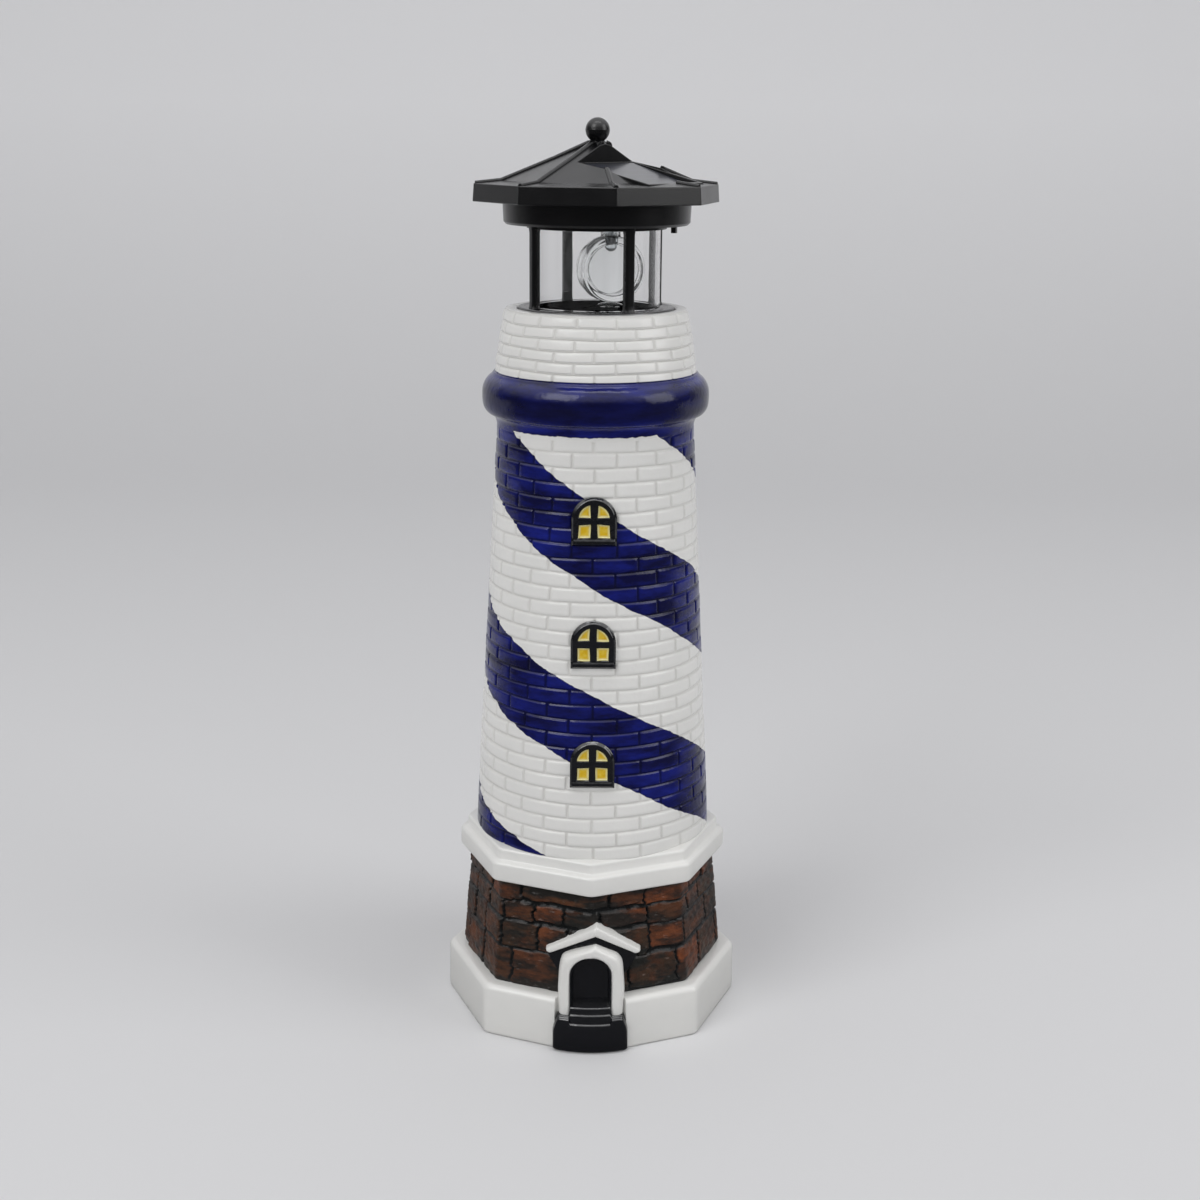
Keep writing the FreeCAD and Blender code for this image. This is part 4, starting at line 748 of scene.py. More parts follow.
def black_glaze(name, over=None):
    """Black gloss glaze brushed on thick: deep black, with sharp highlights along rounded edges.
    A function of (tree, place, black) may paint over it."""
    material, tree, shader = new_material(name)
    place = position_mm(tree)
    ripple = node(tree, "TexNoise", {"Vector": place, "Scale": 0.4, "Detail": 3.0})
    black = node(tree, "MixRGB", [ripple, linear("#07080D"), linear("#101116")])
    fill(tree, shader, {
        "Base Color": over(tree, place, black) if over else black,
        "Normal": node(tree, "Bump", {"Height": ripple, "Strength": 0.3, "Distance": 0.6 * MM}),
        "Roughness": 0.12, "IOR": 1.75})
    return material


def yellow_panes(tree, place, black):
    """Yellow inside the panes, uneven where it was brushed thin, and cream along each pane's edge."""
    pane, middle = [node(tree, "Attribute", attribute_name=name).outputs["Fac"]
                    for name in ("pane", "pane_middle")]
    brushing = node(tree, "TexNoise", {"Vector": place, "Scale": 0.55, "Detail": 3.0})
    thin = node(tree, "MapRange", [brushing, 0.42, 0.66])
    yellow = node(tree, "MixRGB", [thin, linear("#E2B91C"), linear("#EACB45")])
    yellow = node(tree, "MixRGB", [middle, linear("#F0EAB0"), yellow])
    covered = node(tree, "MapRange", [pane, 0.35, 0.6])
    return node(tree, "MixRGB", [covered, black, yellow])


WINDOW_GLAZES = black_glaze("black_and_yellow_glaze", yellow_panes)
for number in range(WINDOWS):
    sill = TOP_SILL - WINDOW_SPACING * number
    add_piece("window_%d" % (number + 1), window_mesh(sill), WINDOW_GLAZES, *CASTING)

# ---- tower: doorway ----------------------------------------------------------------------------
# The way in, carved with the rest: a fat white arch round a dark opening, a white gable with
# a painted shadow in black under it, and black steps down over the foot's corner.

BLACK = black_glaze("black_glaze")
DOOR_FRONT, DOOR_BACK, DOOR_FOLD, DOOR_BEAD = 60.0, 48.0, 0.2, 2.2
OPENING_HALF, OPENING_TOP, OPENING_DEPTH, LINING = 7.9, 41.0, 4.6, 0.5
STOOP_HALF, STOOP_TOP = 15.4, 15.7


def band_mesh(inner, outer, front, back, bead, count, tip=0.0):
    """A closed raised band between two lines of (x, z) corners, rounded across and at its ends."""
    near, far = walk(inner, count, closed=False), walk(outer, count, closed=False)
    sections = []
    for index, (start, end) in enumerate(zip(near, far)):
        from_end = min(index, count - 1 - index) / (count - 1)
        pinch = 1.0 if tip == 0.0 else math.sqrt(max(1.0 - (1.0 - min(from_end / tip, 1.0)) ** 2, 0.02))
        middle = (start + end) / 2.0
        start, end = middle + (start - middle) * pinch, middle + (end - middle) * pinch
        section = [(start, back)]
        for share in np.linspace(0.0, 1.0, 13):
            round_off = 1.0 - (1.0 - math.sin(math.pi * share)) ** 2.2
            depth = front(start[0] + (end[0] - start[0]) * share) - bead * (1.0 - round_off)
            section.append((start + (end - start) * share, depth - (1.0 - pinch) * bead))
        section.append((end, back))
        sections.append([(point[0], -depth, point[1]) for point, depth in section])
    return ring_mesh(sections, closed=False)


# carved by hand: its point and its shoulders are not quite in the middle
right_side = [(13.9, 26.5), (13.4, 33.2), (12.8, 37.9), (10.7, 41.2), (6.9, 43.6), (2.1, 46.6)]
left_side = [(1.7, 46.6), (-6.1, 43.1), (-10.4, 40.7), (-11.9, 38.6), (-12.9, 33.9), (-13.3, 26.8)]
surround_foot = STOOP_TOP - 0.8
surround_outer = [(13.2, surround_foot)] + smooth_line(right_side, 4)
surround_outer += smooth_line(left_side, 4) + [(-12.9, surround_foot)]
surround = band_mesh(arch_line(OPENING_HALF, surround_foot, OPENING_TOP), surround_outer,
                     lambda x: DOOR_FRONT - DOOR_FOLD * abs(x), DOOR_BACK, DOOR_BEAD, 120)
add_piece("door_surround", surround, WHITE, *CASTING)

lined_arch = (OPENING_HALF + LINING, STOOP_TOP - 2.0, OPENING_TOP + LINING)


def opening_face(x, z):
    """The opening's floor, and a thin black lining that comes forward to the arch."""
    lining = 1.0 - smooth_step(inside_arch(x, z, *lined_arch), 0.55, 1.5)
    return DOOR_FRONT - OPENING_DEPTH - 1.0 + (OPENING_DEPTH - 0.9) * lining


opening = relief_mesh(arch_line(*lined_arch), (0.0, 30.0), DOOR_BACK, opening_face, 160, 30)
add_piece("door_opening", opening, BLACK, *CASTING)

GABLE_FRONT, GABLE_BACK, GABLE_FOLD, GABLE_MIDDLE = 58.2, 44.0, 0.4, 1.5
UNDER_FRONT, UNDER_BACK, UNDER_FOLD = 56.2, DOOR_BACK - 6.0, 0.42
gable_inner = [(18.7, 39.7), (1.8, 50.3), (-17.3, 39.3)]
gable_outer = [(21.0, 41.1), (2.3, 54.6), (-19.0, 41.2)]
gable = band_mesh(gable_inner, gable_outer, lambda x: GABLE_FRONT - GABLE_FOLD * abs(x - GABLE_MIDDLE),
                  GABLE_BACK, 0.9, 121, tip=0.03)
add_piece("gable", gable, WHITE, *CASTING)


def under_face(x, z):
    """Close behind the gable's face, and set back behind the door's opening."""
    at_opening = smooth_step(inside_arch(x, z, OPENING_HALF + 3.0, STOOP_TOP, OPENING_TOP + 3.0), 0.0, 2.2)
    edge = np.exp(-inside_arch(x, z, 20.0, 30.0, 56.0) / 1.2)
    return UNDER_FRONT - UNDER_FOLD * np.abs(x - GABLE_MIDDLE) - 1.2 * edge - 4.5 * at_opening


# gable_shadow is a black sheet set close under the gable: a painted shadow where the gable's shade falls
under_outline = [(-18.2, 40.0), (-16.4, 36.4), (-13.2, 31.5), (14.0, 31.5), (17.6, 36.4), (19.8, 40.0),
                 (2.2, 52.8)]
under_gable = relief_mesh(under_outline, (0.0, 43.0), UNDER_BACK, under_face, 160, 24)
add_piece("gable_shadow", under_gable, BLACK, *CASTING)

# Each step is (how far its edge stands out, its height); cheeks flank the steps on both sides.
STEPS = [(62.2, 13.4), (60.9, 17.0), (59.7, 19.7)]
CHEEKS = [(61.9, 15.2), (61.2, 15.7), (60.2, 15.9)]
STEP_EDGE, STEPS_HALF, STOOP_BOW = 1.0, 8.2, 3.0
STOOP_CORNER, SLUMP_FROM, SLUMP = 1.6, 12.4, 6.5
STOOP_FRONT = [(59.4, 0.0), (60.8, 0.5), (61.8, 1.6), (62.2, 3.4), (62.3, 6.0)]


def stair_section(x):
    """The steps' side view at x: from the floor up over rounded edges to the door, and back."""
    share = float(smooth_step(abs(x), STEPS_HALF, STEPS_HALF + 0.7))
    over = max(abs(x) - (STOOP_HALF - STOOP_CORNER), 0.0) / STOOP_CORNER
    shrink = STOOP_CORNER * (1.0 - math.sqrt(max(1.0 - over * over, 0.0)))
    slump = SLUMP * max((abs(x) - SLUMP_FROM) / (STOOP_HALF - SLUMP_FROM), 0.0) ** 2
    line = [(out - shrink, high) for out, high in STOOP_FRONT]
    for step, cheek in zip(STEPS, CHEEKS):
        out = step[0] + (cheek[0] - step[0]) * share - shrink
        high = step[1] + (cheek[1] - step[1]) * share - slump
        for a in (0.0, 22.0, 45.0, 68.0, 90.0):
            line.append((out - STEP_EDGE * (1.0 - math.cos(math.radians(a))),
                         high - STEP_EDGE * (1.0 - math.sin(math.radians(a)))))
    line += [(DOOR_BACK + 5.0, line[-1][1]), (DOOR_BACK + 2.0, line[-1][1]), (DOOR_BACK + 2.0, 0.0)]
    bow = STOOP_BOW * (x / STOOP_HALF) ** 2
    return [(x, bow - out, high) for out, high in line]


places = np.concatenate([np.linspace(-1.0, -0.9, 9), np.linspace(-0.88, 0.88, 71), np.linspace(0.9, 1.0, 9)])
stair = ring_mesh([stair_section(share * STOOP_HALF) for share in places], closed=False)
add_piece("door_steps", stair, BLACK, *CASTING)

# ---- lantern: base -----------------------------------------------------------------------------
# Black gloss ABS, injection moulded, so every edge has a small radius and the faces a very fine
# tool texture. The disc drops into the neck's socket and a spigot under it centres it.

disc_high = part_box("lantern_base")[1]
DISC_TOP = disc_high.z / MM
DISC_RADIUS = disc_high.x / MM
LAMP_X = 5.5
BASE_PART = ("lantern", ["lantern_base"], "black_abs")


def moulded_black(name, gloss):
    """Injection-moulded ABS: dark and even, softly glossy, its edges rounded by the tool. Where the
    tool was spark-textured its gloss is low."""
    material, tree, shader = new_material(name)
    place = position_mm(tree)
    patches = node(tree, "TexNoise", {"Vector": place, "Scale": 0.08, "Detail": 2.0})
    grain = node(tree, "TexNoise", {"Vector": place, "Scale": 1.6, "Detail": 3.0})
    edge = node(tree, "Bevel", {"Radius": 0.4 * MM}, samples=4)
    fill(tree, shader, {
        "Base Color": node(tree, "MixRGB", [patches, linear("#060607"), linear("#0C0C0E")]),
        "Roughness": node(tree, "MapRange", [patches, 0.0, 1.0, 0.2, 0.3]),
        "Normal": node(tree, "Bump", {"Height": grain, "Strength": 0.12, "Distance": 0.3 * MM,
                                      "Normal": edge}),
        "IOR": 1.5, "Specular IOR Level": gloss})
    return material


def disc_black(polished_from, polished_to):
    """The disc's ABS: dull inside the clear tube, and polished round the outside of it."""
    material = moulded_black("part_textured_black_abs", 0.0)
    tree = material.node_tree
    x, y, _ = node(tree, "SeparateXYZ", [position_mm(tree)]).outputs
    polish = node(tree, "MapRange", [off_axis(tree, x, y), polished_from, polished_to])
    fill(tree, tree.nodes["Principled BSDF"], {"Specular IOR Level": polish})
    return material


MOULDED_BLACK = moulded_black("moulded_black_abs", 0.5)
SPIGOT_RADIUS, SPIGOT_DROP = LEDGE_RADIUS - 0.4, 9.0
disc = [(0.2, SOCKET_FLOOR)]
disc += set_out(SPIGOT_RADIUS, SOCKET_FLOOR, (-2.0, 0.0), (-2.0, -SPIGOT_DROP), (0.0, -SPIGOT_DROP),
                (0.0, 0.0))
disc += set_out(DISC_RADIUS, SOCKET_FLOOR, (-0.3, 0.0), (0.0, 0.4))
disc += rounded(DISC_RADIUS - 0.7, DISC_TOP - 0.7, 0.7, 0.0, 90.0)
disc += set_out(DISC_RADIUS, DISC_TOP, (-2.2, 0.0), (-2.5, -0.25), (-4.0, -0.25), (-4.3, 0.0))
disc += [(0.2, DISC_TOP)]
add_piece("lantern_disc", lathe_mesh(disc, 160, closed=False), disc_black(25.2, 25.8), *BASE_PART)
boss = set_out(0.0, SOCKET_FLOOR, (0.2, -3.0), (4.4, -3.0), (4.8, -2.6), (4.8, 0.5), (0.2, 0.5))
add_piece("lantern_boss", lathe_mesh(boss, 48, LAMP_X, closed=False), MOULDED_BLACK, *BASE_PART)

# ---- lantern: posts ----------------------------------------------------------------------------
# Four moulded posts, pegged and glued into the disc and the drum, each a little wider at both
# ends where it leaves its fillet.

POST_CIRCLE, POST_TURN, POST_HALF_WIDTH, POST_HALF_DEPTH = 27.15, 27.3, 1.95, 1.7
POST_FOOT, POST_HEAD = DISC_TOP - 0.2, 329.5


def turned_points(angle, side, back, height, off_centre=0.0):
    """Points at distances sideways and back from an axis, turned about it, which is off to the right."""
    x = off_centre + side * math.cos(angle) - back * math.sin(angle)
    y = side * math.sin(angle) + back * math.cos(angle)
    return np.stack([x, y, height + 0.0 * x], axis=-1)


def post_mesh(turn):
    """A post with a nearly square section, flared where it meets the disc and the drum."""
    angle = around(32)
    squared = (np.abs(np.cos(angle)) ** 5 + np.abs(np.sin(angle)) ** 5) ** -0.2
    levels = set_out(0.0, POST_FOOT, (0.35, 0.0), (0.2, 0.5), (0.06, 1.2), (0.0, 3.0))
    levels += set_out(0.0, POST_HEAD, (0.0, -3.0), (0.06, -2.6), (0.15, -2.0), (0.15, 0.0))
    rings = []
    for flare, height in levels:
        across = (POST_HALF_WIDTH + flare) * squared * np.cos(angle)
        deep = (POST_HALF_DEPTH + flare) * squared * np.sin(angle) - POST_CIRCLE
        rings.append(turned_points(turn, across, deep, height))
    return ring_mesh(rings, closed=False)


for quarter, name in enumerate(("post_front_right", "post_rear_right", "post_rear_left", "post_front_left")):
    post = post_mesh(math.radians(POST_TURN + 90.0 * quarter))
    add_piece(name + "_moulding", post, MOULDED_BLACK, "lantern", [name], "black_abs")

# ---- lantern: clear tube -----------------------------------------------------------------------
# A clear polystyrene cylinder standing inside the posts, held between the disc and the plate
# over it: thin and colourless, darker only where the eye looks along its wall.

TUBE_RADIUS, TUBE_WALL, TUBE_HEAD = 25.3, 1.2, 327.8
TUBE_BORE = TUBE_RADIUS - TUBE_WALL


def clear_plastic(name, tint, index, flow):
    """Clear moulded plastic; flow is how strongly its drawn-out surface waves bend the light."""
    material, tree, shader = new_material(name)
    drawn = node(tree, "Mapping", {"Vector": position_mm(tree), "Scale": (1.0, 1.0, 0.25)})
    waves = node(tree, "TexNoise", {"Vector": drawn, "Scale": 0.12, "Detail": 2.0})
    fill(tree, shader, {
        "Base Color": linear(tint),
        "Normal": node(tree, "Bump", {"Height": waves, "Strength": flow, "Distance": 0.6 * MM}),
        "Transmission Weight": 1.0, "IOR": index, "Roughness": 0.0})
    return material


tube = set_out(TUBE_BORE, DISC_TOP, (0.0, 0.2), (0.2, 0.0))
tube += set_out(TUBE_RADIUS, DISC_TOP, (-0.2, 0.0), (0.0, 0.2))
tube += set_out(TUBE_RADIUS, TUBE_HEAD, (0.0, -0.2), (-0.2, 0.0))
tube += set_out(TUBE_BORE, TUBE_HEAD, (0.2, 0.0), (0.0, -0.2))
CLEAR_TUBE = clear_plastic("clear_polystyrene", "#FEFEFE", 1.3, 0.08)
add_piece("clear_cylinder", lathe_mesh(tube, 160), CLEAR_TUBE, "lantern", ["clear_tube"], "clear_styrene")

# ---- lantern: turning ring and its bush --------------------------------------------------------
# A clear acrylic ring about the lamp, with a bull's-eye lens in each face. Its hollow neck goes up
# to the gear in the drum, and its foot pin turns in a flanged clear bush in the disc.

RING_MIDDLE, RING_TURN = 312.0, math.radians(14.0)
RING_OUTER, RING_INNER, RING_HALF, RING_EDGE = 13.0, 9.6, 5.5, 1.5
LENS_THICKNESS, LENS_CROWN, LENS_INSET = 1.2, 0.5, 0.6
NECK_OUTER, NECK_BORE, NECK_GEAR = 3.9, 3.1, 334.1
CLEAR_ACRYLIC = clear_plastic("clear_acrylic", "#FCFDFD", 1.49, 0.1)
RING_PART = ("lens_rotor", ["rotor_ring"], "clear_acrylic")


def about_lamp(profile, steps=112, closed=True):
    """A mesh turned about the ring's level axis, from (radius, distance along the axis) points."""
    angle = around(steps)
    rings = []
    for radius, along in profile:
        height = RING_MIDDLE + radius * np.sin(angle)
        rings.append(turned_points(RING_TURN, radius * np.cos(angle), along, height, LAMP_X))
    return ring_mesh(rings, closed)


SEAT = RING_HALF - LENS_INSET
ring = rounded(RING_OUTER - RING_EDGE, RING_HALF - RING_EDGE, RING_EDGE, 0.0, 90.0, 7)
ring += set_out(RING_INNER, RING_HALF, (0.9, 0.0), (0.65, -0.25))
ring += [(RING_INNER + 0.65, SEAT - LENS_THICKNESS), (RING_INNER, SEAT - LENS_THICKNESS - 0.1)]
ring += [(radius, -along) for radius, along in reversed(ring)]
add_piece("clear_ring", about_lamp(ring), CLEAR_ACRYLIC, *RING_PART)

neck_foot = RING_MIDDLE + RING_OUTER - 0.9
ring_neck = [(NECK_BORE, neck_foot), (NECK_OUTER + 0.5, neck_foot), (NECK_OUTER, neck_foot + 0.9)]
ring_neck += [(NECK_OUTER, NECK_GEAR), (NECK_BORE, NECK_GEAR)]
add_piece("ring_neck", lathe_mesh(ring_neck, 64, LAMP_X), CLEAR_ACRYLIC, *RING_PART)
pin = set_out(0.0, DISC_TOP, (0.15, -1.4), (1.1, -1.4), (1.3, -1.2), (1.3, 1.55), (2.2, 1.55))
pin += set_out(0.0, RING_MIDDLE - RING_OUTER, (2.3, 0.5), (0.15, 0.7))
add_piece("ring_pin", lathe_mesh(pin, 48, LAMP_X, closed=False), CLEAR_ACRYLIC, *RING_PART)

lens_edge = RING_INNER + 0.55
for name, side in (("front_lens", -1.0), ("rear_lens", 1.0)):
    crown = [(radius, side * (SEAT + LENS_CROWN * (1.0 - (radius / RING_INNER) ** 2)))
             for radius in np.linspace(0.15, RING_INNER - 0.4, 14)]
    rim = [(RING_INNER - 0.1, side * SEAT), (lens_edge, side * SEAT)]
    back = [(radius, side * (SEAT - LENS_THICKNESS)) for radius in (lens_edge, 0.15)]
    lens = about_lamp((crown + rim + back)[::int(side)], 96, closed=False)
    add_piece(name + "_disc", lens, CLEAR_ACRYLIC, "lens_rotor", [name], "clear_acrylic")

bush = set_out(0.0, DISC_TOP, (1.35, -6.0), (2.8, -6.0), (2.8, 0.0), (4.8, 0.0), (5.0, 0.2), (5.0, 0.6),
               (4.7, 0.9), (3.0, 1.3), (1.35, 1.4))
add_piece("flanged_bush", lathe_mesh(bush, 64, LAMP_X), CLEAR_ACRYLIC, "lantern", ["pivot_bush"],
          "clear_acrylic")

# ---- lantern: lamp -----------------------------------------------------------------------------
# A 5 mm light-emitting diode: water-clear cast epoxy with a domed end, its silver cup and post
# showing dark inside, hung in the ring from a white stem.

LED_TOP, LED_RADIUS, LED_LENGTH = RING_MIDDLE + RING_OUTER + 2.2, 2.5, 8.6
LED_PART = ("lantern", ["led"], "led_epoxy")
led_dome = LED_TOP - LED_LENGTH + LED_RADIUS


def plated_steel():
    """Zinc-plated steel: bright grey with a soft uneven gloss."""
    material, tree, shader = new_material("zinc_plated_steel")
    patches = node(tree, "TexNoise", {"Vector": position_mm(tree), "Scale": 0.9, "Detail": 3.0})
    fill(tree, shader, {
        "Base Color": node(tree, "MixRGB", [patches, linear("#A9ABAE"), linear("#C4C6C8")]),
        "Roughness": node(tree, "MapRange", [patches, 0.0, 1.0, 0.22, 0.45]), "Metallic": 1.0})
    return material


led = [(LED_RADIUS * math.sin(a), led_dome - LED_RADIUS * math.cos(a))
       for a in np.linspace(0.06, math.pi / 2, 12)]
led += set_out(0.0, LED_TOP, (LED_RADIUS, -1.0), (2.9, -0.95), (2.9, 0.0), (0.15, 0.0))
LED_EPOXY = clear_plastic("led_cast_epoxy", "#DDE2E4", 1.53, 0.1)
add_piece("lamp_lens", lathe_mesh(led, 48, LAMP_X, closed=False), LED_EPOXY, *LED_PART)
STEEL = plated_steel()
cup = set_out(0.0, led_dome, (0.1, 0.2), (0.7, 0.2), (1.3, 1.5), (1.1, 1.6), (0.9, 2.4))
cup += set_out(0.0, LED_TOP, (0.6, -0.4), (0.1, -0.4))
add_piece("lamp_cup", lathe_mesh(cup, 32, LAMP_X, closed=False), STEEL, *LED_PART)

# ---- lantern: roof -----------------------------------------------------------------------------
# One ABS moulding: an eight-sided pagoda roof with a straight fascia and a rib down each hip, and
# a sloping landing let into its front right side for the solar panel.

DRUM_HEAD, FASCIA_TOP, PEAK = 337.9, 344.8, 361.2
ROOF_TURN, LANDING_TURN = math.radians(8.5), math.radians(53.5)
HIPS = ROOF_TURN + np.arange(SIDES) * FULL_TURN / SIDES
EAVE, FLARE, MID, CROWN = (48.6, FASCIA_TOP), (38.0, 345.9), (16.8, 354.5), (3.2, 360.3)
RIB_SECTION = [(-1.0, -1.2), (-1.0, 0.25), (-0.62, 0.85), (0.0, 1.0), (0.62, 0.85), (1.0, 0.25), (1.0, -1.2)]
PANEL_START, PANEL_END, PANEL_HALF, PANEL_THICKNESS = 5.2, 36.2, 16.8, 1.6
PANEL_SLOPE, RIM_SLOPE, PANEL_DROP, TRAY_WALL, TRAY_GAP = 0.278, 0.224, 7.05, 1.4, 0.2
CUT_FOOT, CUT_HEAD = 330.0, 390.0
ROOF_PART = ("lantern", ["roof_shell"], "black_abs", False)


def out_at(turn, distance, side, height):
    """A point out from the axis at a turn from the front, to one side and up."""
    return (distance * math.sin(turn) + side * math.cos(turn),
            side * math.sin(turn) - distance * math.cos(turn), height)


def landing_ring(start, end, half, height_at):
    """The four corners of a block over the landing, each at height_at(distance)."""
    corners = ((start, -half), (end, -half), (end, half), (start, half))
    return [out_at(LANDING_TURN, distance, side, height_at(distance)) for distance, side in corners]


def sloping(slope, drop=0.0):
    """Heights of the landing that fall outwards at a slope, less a drop."""
    return lambda distance: PEAK - PANEL_DROP - slope * distance - drop


def worked(mesh, kind, cutter_mesh=None, **settings):
    """The mesh with one of Blender's modifiers applied to it."""
    made = bpy.data.objects.new("worked", mesh)
    scene.collection.objects.link(made)
    modifier = made.modifiers.new("worked", kind)
    for name, value in settings.items():
        setattr(modifier, name, value)
    if cutter_mesh:
        modifier.object = bpy.data.objects.new("cutter", cutter_mesh)
        scene.collection.objects.link(modifier.object)
    cleared = bpy.data.meshes.new_from_object(made.evaluated_get(bpy.context.evaluated_depsgraph_get()))
    if cutter_mesh:
        bpy.data.objects.remove(modifier.object)
    bpy.data.objects.remove(made)
    return cleared


def cut_for_tray(mesh, inset):
    """The mesh less the place that the tray takes, drawn in all round by an inset."""
    corners = (tray_start + inset, tray_end - inset, tray_half - inset)
    levels = [landing_ring(*corners, lambda distance: height) for height in (CUT_FOOT, CUT_HEAD)]
    hole = ring_mesh(levels, closed=False)
    return worked(mesh, "BOOLEAN", hole, operation="DIFFERENCE", solver="EXACT")


def soften(mesh, width):
    """Round a mesh's sharp edges by a width in millimetres, as a mould does."""
    return worked(mesh, "BEVEL", width=width * MM, segments=3, limit_method="ANGLE",
                  angle_limit=math.radians(22.0), harden_normals=True)


tray_start, tray_end = PANEL_START - TRAY_GAP - TRAY_WALL, PANEL_END + TRAY_GAP + TRAY_WALL
tray_half = PANEL_HALF + TRAY_GAP + TRAY_WALL
roof_levels = [(3.0, 350.2), (17.0, 350.0), (22.0, 349.4), (37.0, 343.7), (46.8, 342.7)]
roof_levels += set_out(0.0, DRUM_HEAD, (46.8, 2.0), (37.0, 2.0), (37.0, 0.0), (49.1, 0.0))
roof_levels += [EAVE, FLARE, MID, CROWN, (1.4, 361.0)]
roof = ring_mesh([polar(radius, HIPS, height) for radius, height in roof_levels], closed=False)
add_piece("pagoda_roof", soften(cut_for_tray(roof, 0.3), 0.3), MOULDED_BLACK, *ROOF_PART)

ribs = bmesh.new()
for turn in HIPS:
    line = [(CROWN[0] + 0.4, CROWN[1] + 0.1), MID, FLARE, (EAVE[0] - 0.5, EAVE[1])]
    ribs.from_mesh(ring_mesh([[out_at(turn, radius, side, height + rise) for side, rise in RIB_SECTION]
                              for radius, height in line], closed=False))
ribs_mesh = bpy.data.meshes.new("ribs")
ribs.to_mesh(ribs_mesh)
add_piece("roof_ribs", soften(cut_for_tray(ribs_mesh, -0.05), 0.18), MOULDED_BLACK, *ROOF_PART)

# the landing is a tray with its rim level across, and its seat a panel's thickness below
outer = (tray_start, tray_end, tray_half)
inner = (PANEL_START - TRAY_GAP, PANEL_END + TRAY_GAP, PANEL_HALF + TRAY_GAP)
tray = [landing_ring(*outer, sloping(PANEL_SLOPE, PANEL_THICKNESS + 1.8)),
        landing_ring(*outer, sloping(RIM_SLOPE)),
        landing_ring(*inner, sloping(RIM_SLOPE)),
        landing_ring(*inner, sloping(PANEL_SLOPE, PANEL_THICKNESS))]
add_piece("landing_tray", soften(ring_mesh(tray, closed=False), 0.25), MOULDED_BLACK, *ROOF_PART)

# ---- lantern: ball finial ----------------------------------------------------------------------
# A separate moulded ball on a collar, its stem pressed into the roof's peak; a faint parting line
# runs round its middle.

BALL_RADIUS, PARTING_LINE = 4.8, 0.05
BALL_RISES = (1.0, 2.5, 7.0, 14.0, 22.0, 30.0, 38.0, 46.0, 54.0, 62.0, 70.0, 78.0, 85.0, 88.0)
ball_middle = PEAK + BALL_RADIUS - 0.8
ball = set_out(0.0, PEAK, (0.2, -4.9), (1.5, -4.9), (1.5, -1.2), (2.6, -1.0), (2.7, -0.5), (2.1, 0.3))
for rise in [-rise for rise in BALL_RISES[9::-1]] + list(BALL_RISES):
    proud = PARTING_LINE if abs(rise) < 2.0 else 0.0
    ball.append(((BALL_RADIUS + proud - PARTING_LINE) * math.cos(math.radians(rise)),
                 ball_middle + BALL_RADIUS * math.sin(math.radians(rise))))
add_piece("ball", lathe_mesh(ball, 72, closed=False), MOULDED_BLACK, "lantern", ["ball_finial"], "black_abs")

# ---- lantern: solar panel ----------------------------------------------------------------------
# Dark silicon cells under clear epoxy on a green board: nearly black seen straight on and a bright
# mirror at a low angle, with fine silver lines between the strips.


def sealed_cells():
    """Silicon strips 5.2 mm wide with conductors between them, under a coat of clear epoxy."""
    material, tree, shader = new_material("epoxy_sealed_silicon")
    turn = (0.0, 0.0, math.pi / 2 - LANDING_TURN)
    turned = node(tree, "Mapping", {"Vector": position_mm(tree), "Rotation": turn})
    across = node(tree, "SeparateXYZ", [turned]).outputs["X"]
    from_line = node(tree, "Math PINGPONG", [node(tree, "Math ADD", [across, 1.2]), 2.6])
    line = node(tree, "MapRange", [from_line, 0.12, 0.2, 1.0, 0.0])
    crystal = node(tree, "TexVoronoi", {"Vector": turned, "Scale": 0.22}).outputs["Color"]
    cell = node(tree, "MixRGB", [crystal, linear("#10121C"), linear("#1A1E2E")])
    fill(tree, shader, {
        "Base Color": node(tree, "MixRGB", [line, cell, linear("#363A45")]),
        "Roughness": 0.3, "Coat Weight": 0.4, "Coat Roughness": 0.12})
    return material


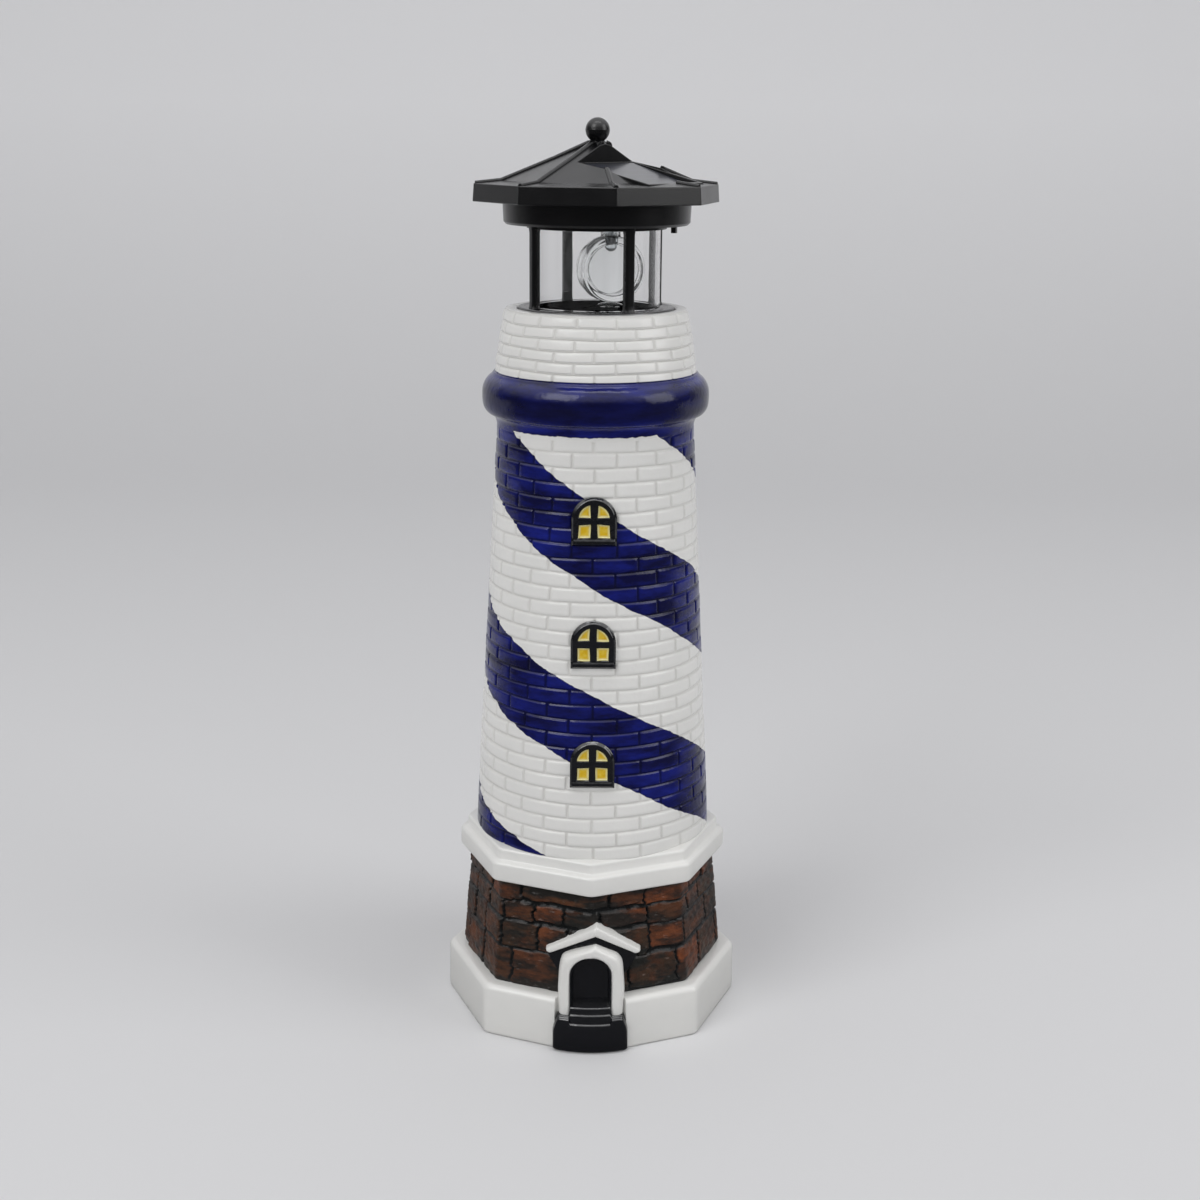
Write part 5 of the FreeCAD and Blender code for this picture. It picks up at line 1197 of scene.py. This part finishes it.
panel = [landing_ring(PANEL_START, PANEL_END, PANEL_HALF, sloping(PANEL_SLOPE, drop))
         for drop in (PANEL_THICKNESS, 0.0)]
add_piece("silicon_panel", soften(ring_mesh(panel, closed=False), 0.2), sealed_cells(), "lantern",
          ["solar_panel"], "solar_glass", smooth=False)

# ---- lantern: drum, works and screws -----------------------------------------------------------
# The parts inside and under the roof are shown as the CAD made them: ABS drum, plate and holder,
# acetal gears and bridge, a steel-cased motor, zinc-plated screws, a sleeved cell and a board.


def finish(material, *names):
    """Give CAD nodes a material."""
    for name in names:
        for place in nodes[name].material_slots:
            place.material = material


def two_tone(name, scale, detail, code, other, roughness):
    """A plain material whose colour drifts between two near ones."""
    material, tree, shader = new_material(name)
    patches = node(tree, "TexNoise", {"Vector": position_mm(tree), "Scale": scale, "Detail": detail})
    tone = node(tree, "MixRGB", [patches, linear(code), linear(other)])
    fill(tree, shader, {"Base Color": tone, "Roughness": roughness})
    return material


def board_laminate():
    """Glass-epoxy board under green solder mask, with the copper tracks showing paler, 2.5 mm apart."""
    material, tree, shader = new_material("solder_masked_laminate")
    across = node(tree, "SeparateXYZ", [position_mm(tree)]).outputs["X"]
    track = node(tree, "MapRange", [node(tree, "Math PINGPONG", [across, 1.25]), 0.35, 0.5, 1.0, 0.0])
    fill(tree, shader, {"Base Color": node(tree, "MixRGB", [track, linear("#0F4A22"), linear("#1D6B36")]),
                        "Roughness": 0.38})
    return material


finish(MOULDED_BLACK, "drum_housing", "drum_floor_plate", "battery_holder", "motor_end_cap", "switch_slider")
finish(STEEL, "floor_plate_screws", "roof_screws", "bridge_screws", "board_screws", "gear_axle", "motor_can",
       "motor_shaft", "motor_armature", "switch_case", "battery_contact_plus", "battery_contact_minus")
# moulded acetal is waxy white and softly glossy; the cell's PVC sleeve is green, with a faint drawn grain
ACETAL = two_tone("moulded_acetal", 0.4, 3.0, "#E4E2DA", "#EFEDE6", 0.42)
finish(ACETAL, "rotor_drive_gear", "reduction_gear", "motor_pinion", "gear_bridge", "led_stem")
finish(two_tone("pvc_shrink_sleeve", 0.5, 2.0, "#1B6A38", "#227A43", 0.28), "battery_cell")
finish(board_laminate(), "circuit_board")
